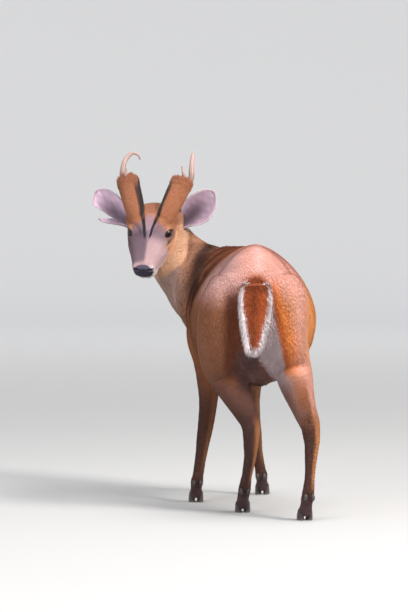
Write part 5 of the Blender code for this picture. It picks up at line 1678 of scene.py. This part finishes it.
FEET = (
    Foot("hind_right", (-0.054, -0.104, 0.018), (-0.074, -0.109, 0.055), (0.013, 0.002)),
    Foot("hind_left", (0.115, 0.0265, 0.018), (0.087, 0.023, 0.053), (0.015, 0.0005)),
    Foot("fore_left", (0.351, 0.1285, 0.018), (0.337, 0.1265, 0.048), (0.010, 0.0005)),
    Foot("fore_right", (0.540, -0.023, 0.018), (0.516, -0.0205, 0.048), (0.014, -0.001)),
)


# The studio.


@dataclass(frozen=True)
class Studio:
    """Pale floor that rises into a round wall far away, soft lamps and the camera."""

    camera_at: Row = (-6.95, 0.1108, 0.694)
    focal_pixels: float = 3261.0
    droop: float = math.atan((306 - 192.7) / 3261.0)
    lamps: tuple[tuple[str, Row, float, float, Row], ...] = (
        ("key", (-3.0, -3.4, 3.6), 1.5, 360, (1.0, 0.95, 0.89)),
        ("fill", (-4.2, 2.6, 2.6), 2.6, 120, (0.95, 0.97, 1.0)),
        ("top", (-0.2, -0.6, 4.2), 2.4, 110, (1.0, 1.0, 1.0)),
    )

    def floor(self) -> None:
        """A disc whose height is 0 to 11 m out and then rises with the square of the distance."""
        radius = np.concatenate([np.linspace(0.5, 11, 12), np.linspace(11.5, 17, 14)])[:, None]
        angle = np.linspace(0, 2 * math.pi, 96, endpoint=False)[None, :]
        height = np.maximum(radius - 11, 0) ** 2 / 5 + 0 * angle
        rings = np.stack([radius * np.cos(angle), radius * np.sin(angle), height], -1)
        points = np.vstack([[0, 0, 0], rings.reshape(-1, 3)])
        faces = tube_faces(len(radius), 96)
        faces = faces[(faces < len(points)).all(1)][:, ::-1]
        piece = make_piece("floor", points, faces, mend=False)
        away = np.linalg.norm(points[:, :2], axis=1)
        set_tint(piece, np.outer(0.44 + 0.46 * ease(1.5, 9.0, away), (1.0, 1.0, 1.0)))
        made = bpy.data.materials.new("pale_floor")
        made.use_nodes = True
        shader = made.node_tree.nodes["Principled BSDF"]
        made.node_tree.links.new(tint_output(made.node_tree), shader.inputs["Base Color"])
        shader.inputs["Roughness"].default_value = 0.9
        piece.data.materials.append(made)

    def lamp(self, name: str, at: Row, size: float, power: float, colour: Row) -> None:
        """Square soft lamp that faces the animal's middle."""
        data = bpy.data.lights.new(name, "AREA")
        data.size, data.energy, data.color = size, power, colour
        lamp = bpy.data.objects.new(name, data)
        lamp.location = at
        aim = np.array((0.0, 0.0, 0.4)) - np.array(at)
        tilt = math.atan2(math.hypot(aim[0], aim[1]), -aim[2])
        lamp.rotation_euler = (tilt, 0.0, math.atan2(aim[1], aim[0]) - math.pi / 2)
        bpy.context.scene.collection.objects.link(lamp)

    def build(self) -> None:
        """Sets the floor, lamps, world and camera."""
        self.floor()
        for lamp in self.lamps:
            self.lamp(*lamp)
        world = bpy.data.worlds.new("studio")
        world.use_nodes = True
        sky = world.node_tree.nodes["Background"]
        sky.inputs["Color"].default_value = (0.92, 0.93, 0.95, 1)
        sky.inputs["Strength"].default_value = 0.72
        scene = bpy.context.scene
        scene.world = world
        scene.view_settings.view_transform = "Standard"
        data = bpy.data.cameras.new("photo_view")
        data.sensor_width = 36.0
        data.lens = self.focal_pixels / 612 * data.sensor_width
        data.clip_end = 200.0
        camera = bpy.data.objects.new("photo_view", data)
        camera.location = np.array(self.camera_at) + SHIFT
        camera.rotation_euler = (math.pi / 2 - self.droop, 0.0, -math.pi / 2)
        scene.collection.objects.link(camera)
        scene.camera = camera


def main() -> None:
    """Builds each part in order."""
    logging.basicConfig(level=logging.INFO, format="%(name)s %(message)s")
    skin = Skin()
    skin.build()
    for eye in EYES:
        eye.eyeball()
        eye.lids(skin.before_sockets)
    coat = Coat()
    coat.cover(skin)
    Ear(Side.LEFT, (-0.49, 0.700, 0.530), bow=0.003).build(coat)
    Ear(Side.RIGHT, (-0.44, 0.755, 0.478), bow=-0.008).build(coat)
    Antlers().build()
    for foot in FEET:
        foot.build()
    Studio().build()


if __name__ == "__main__":
    main()
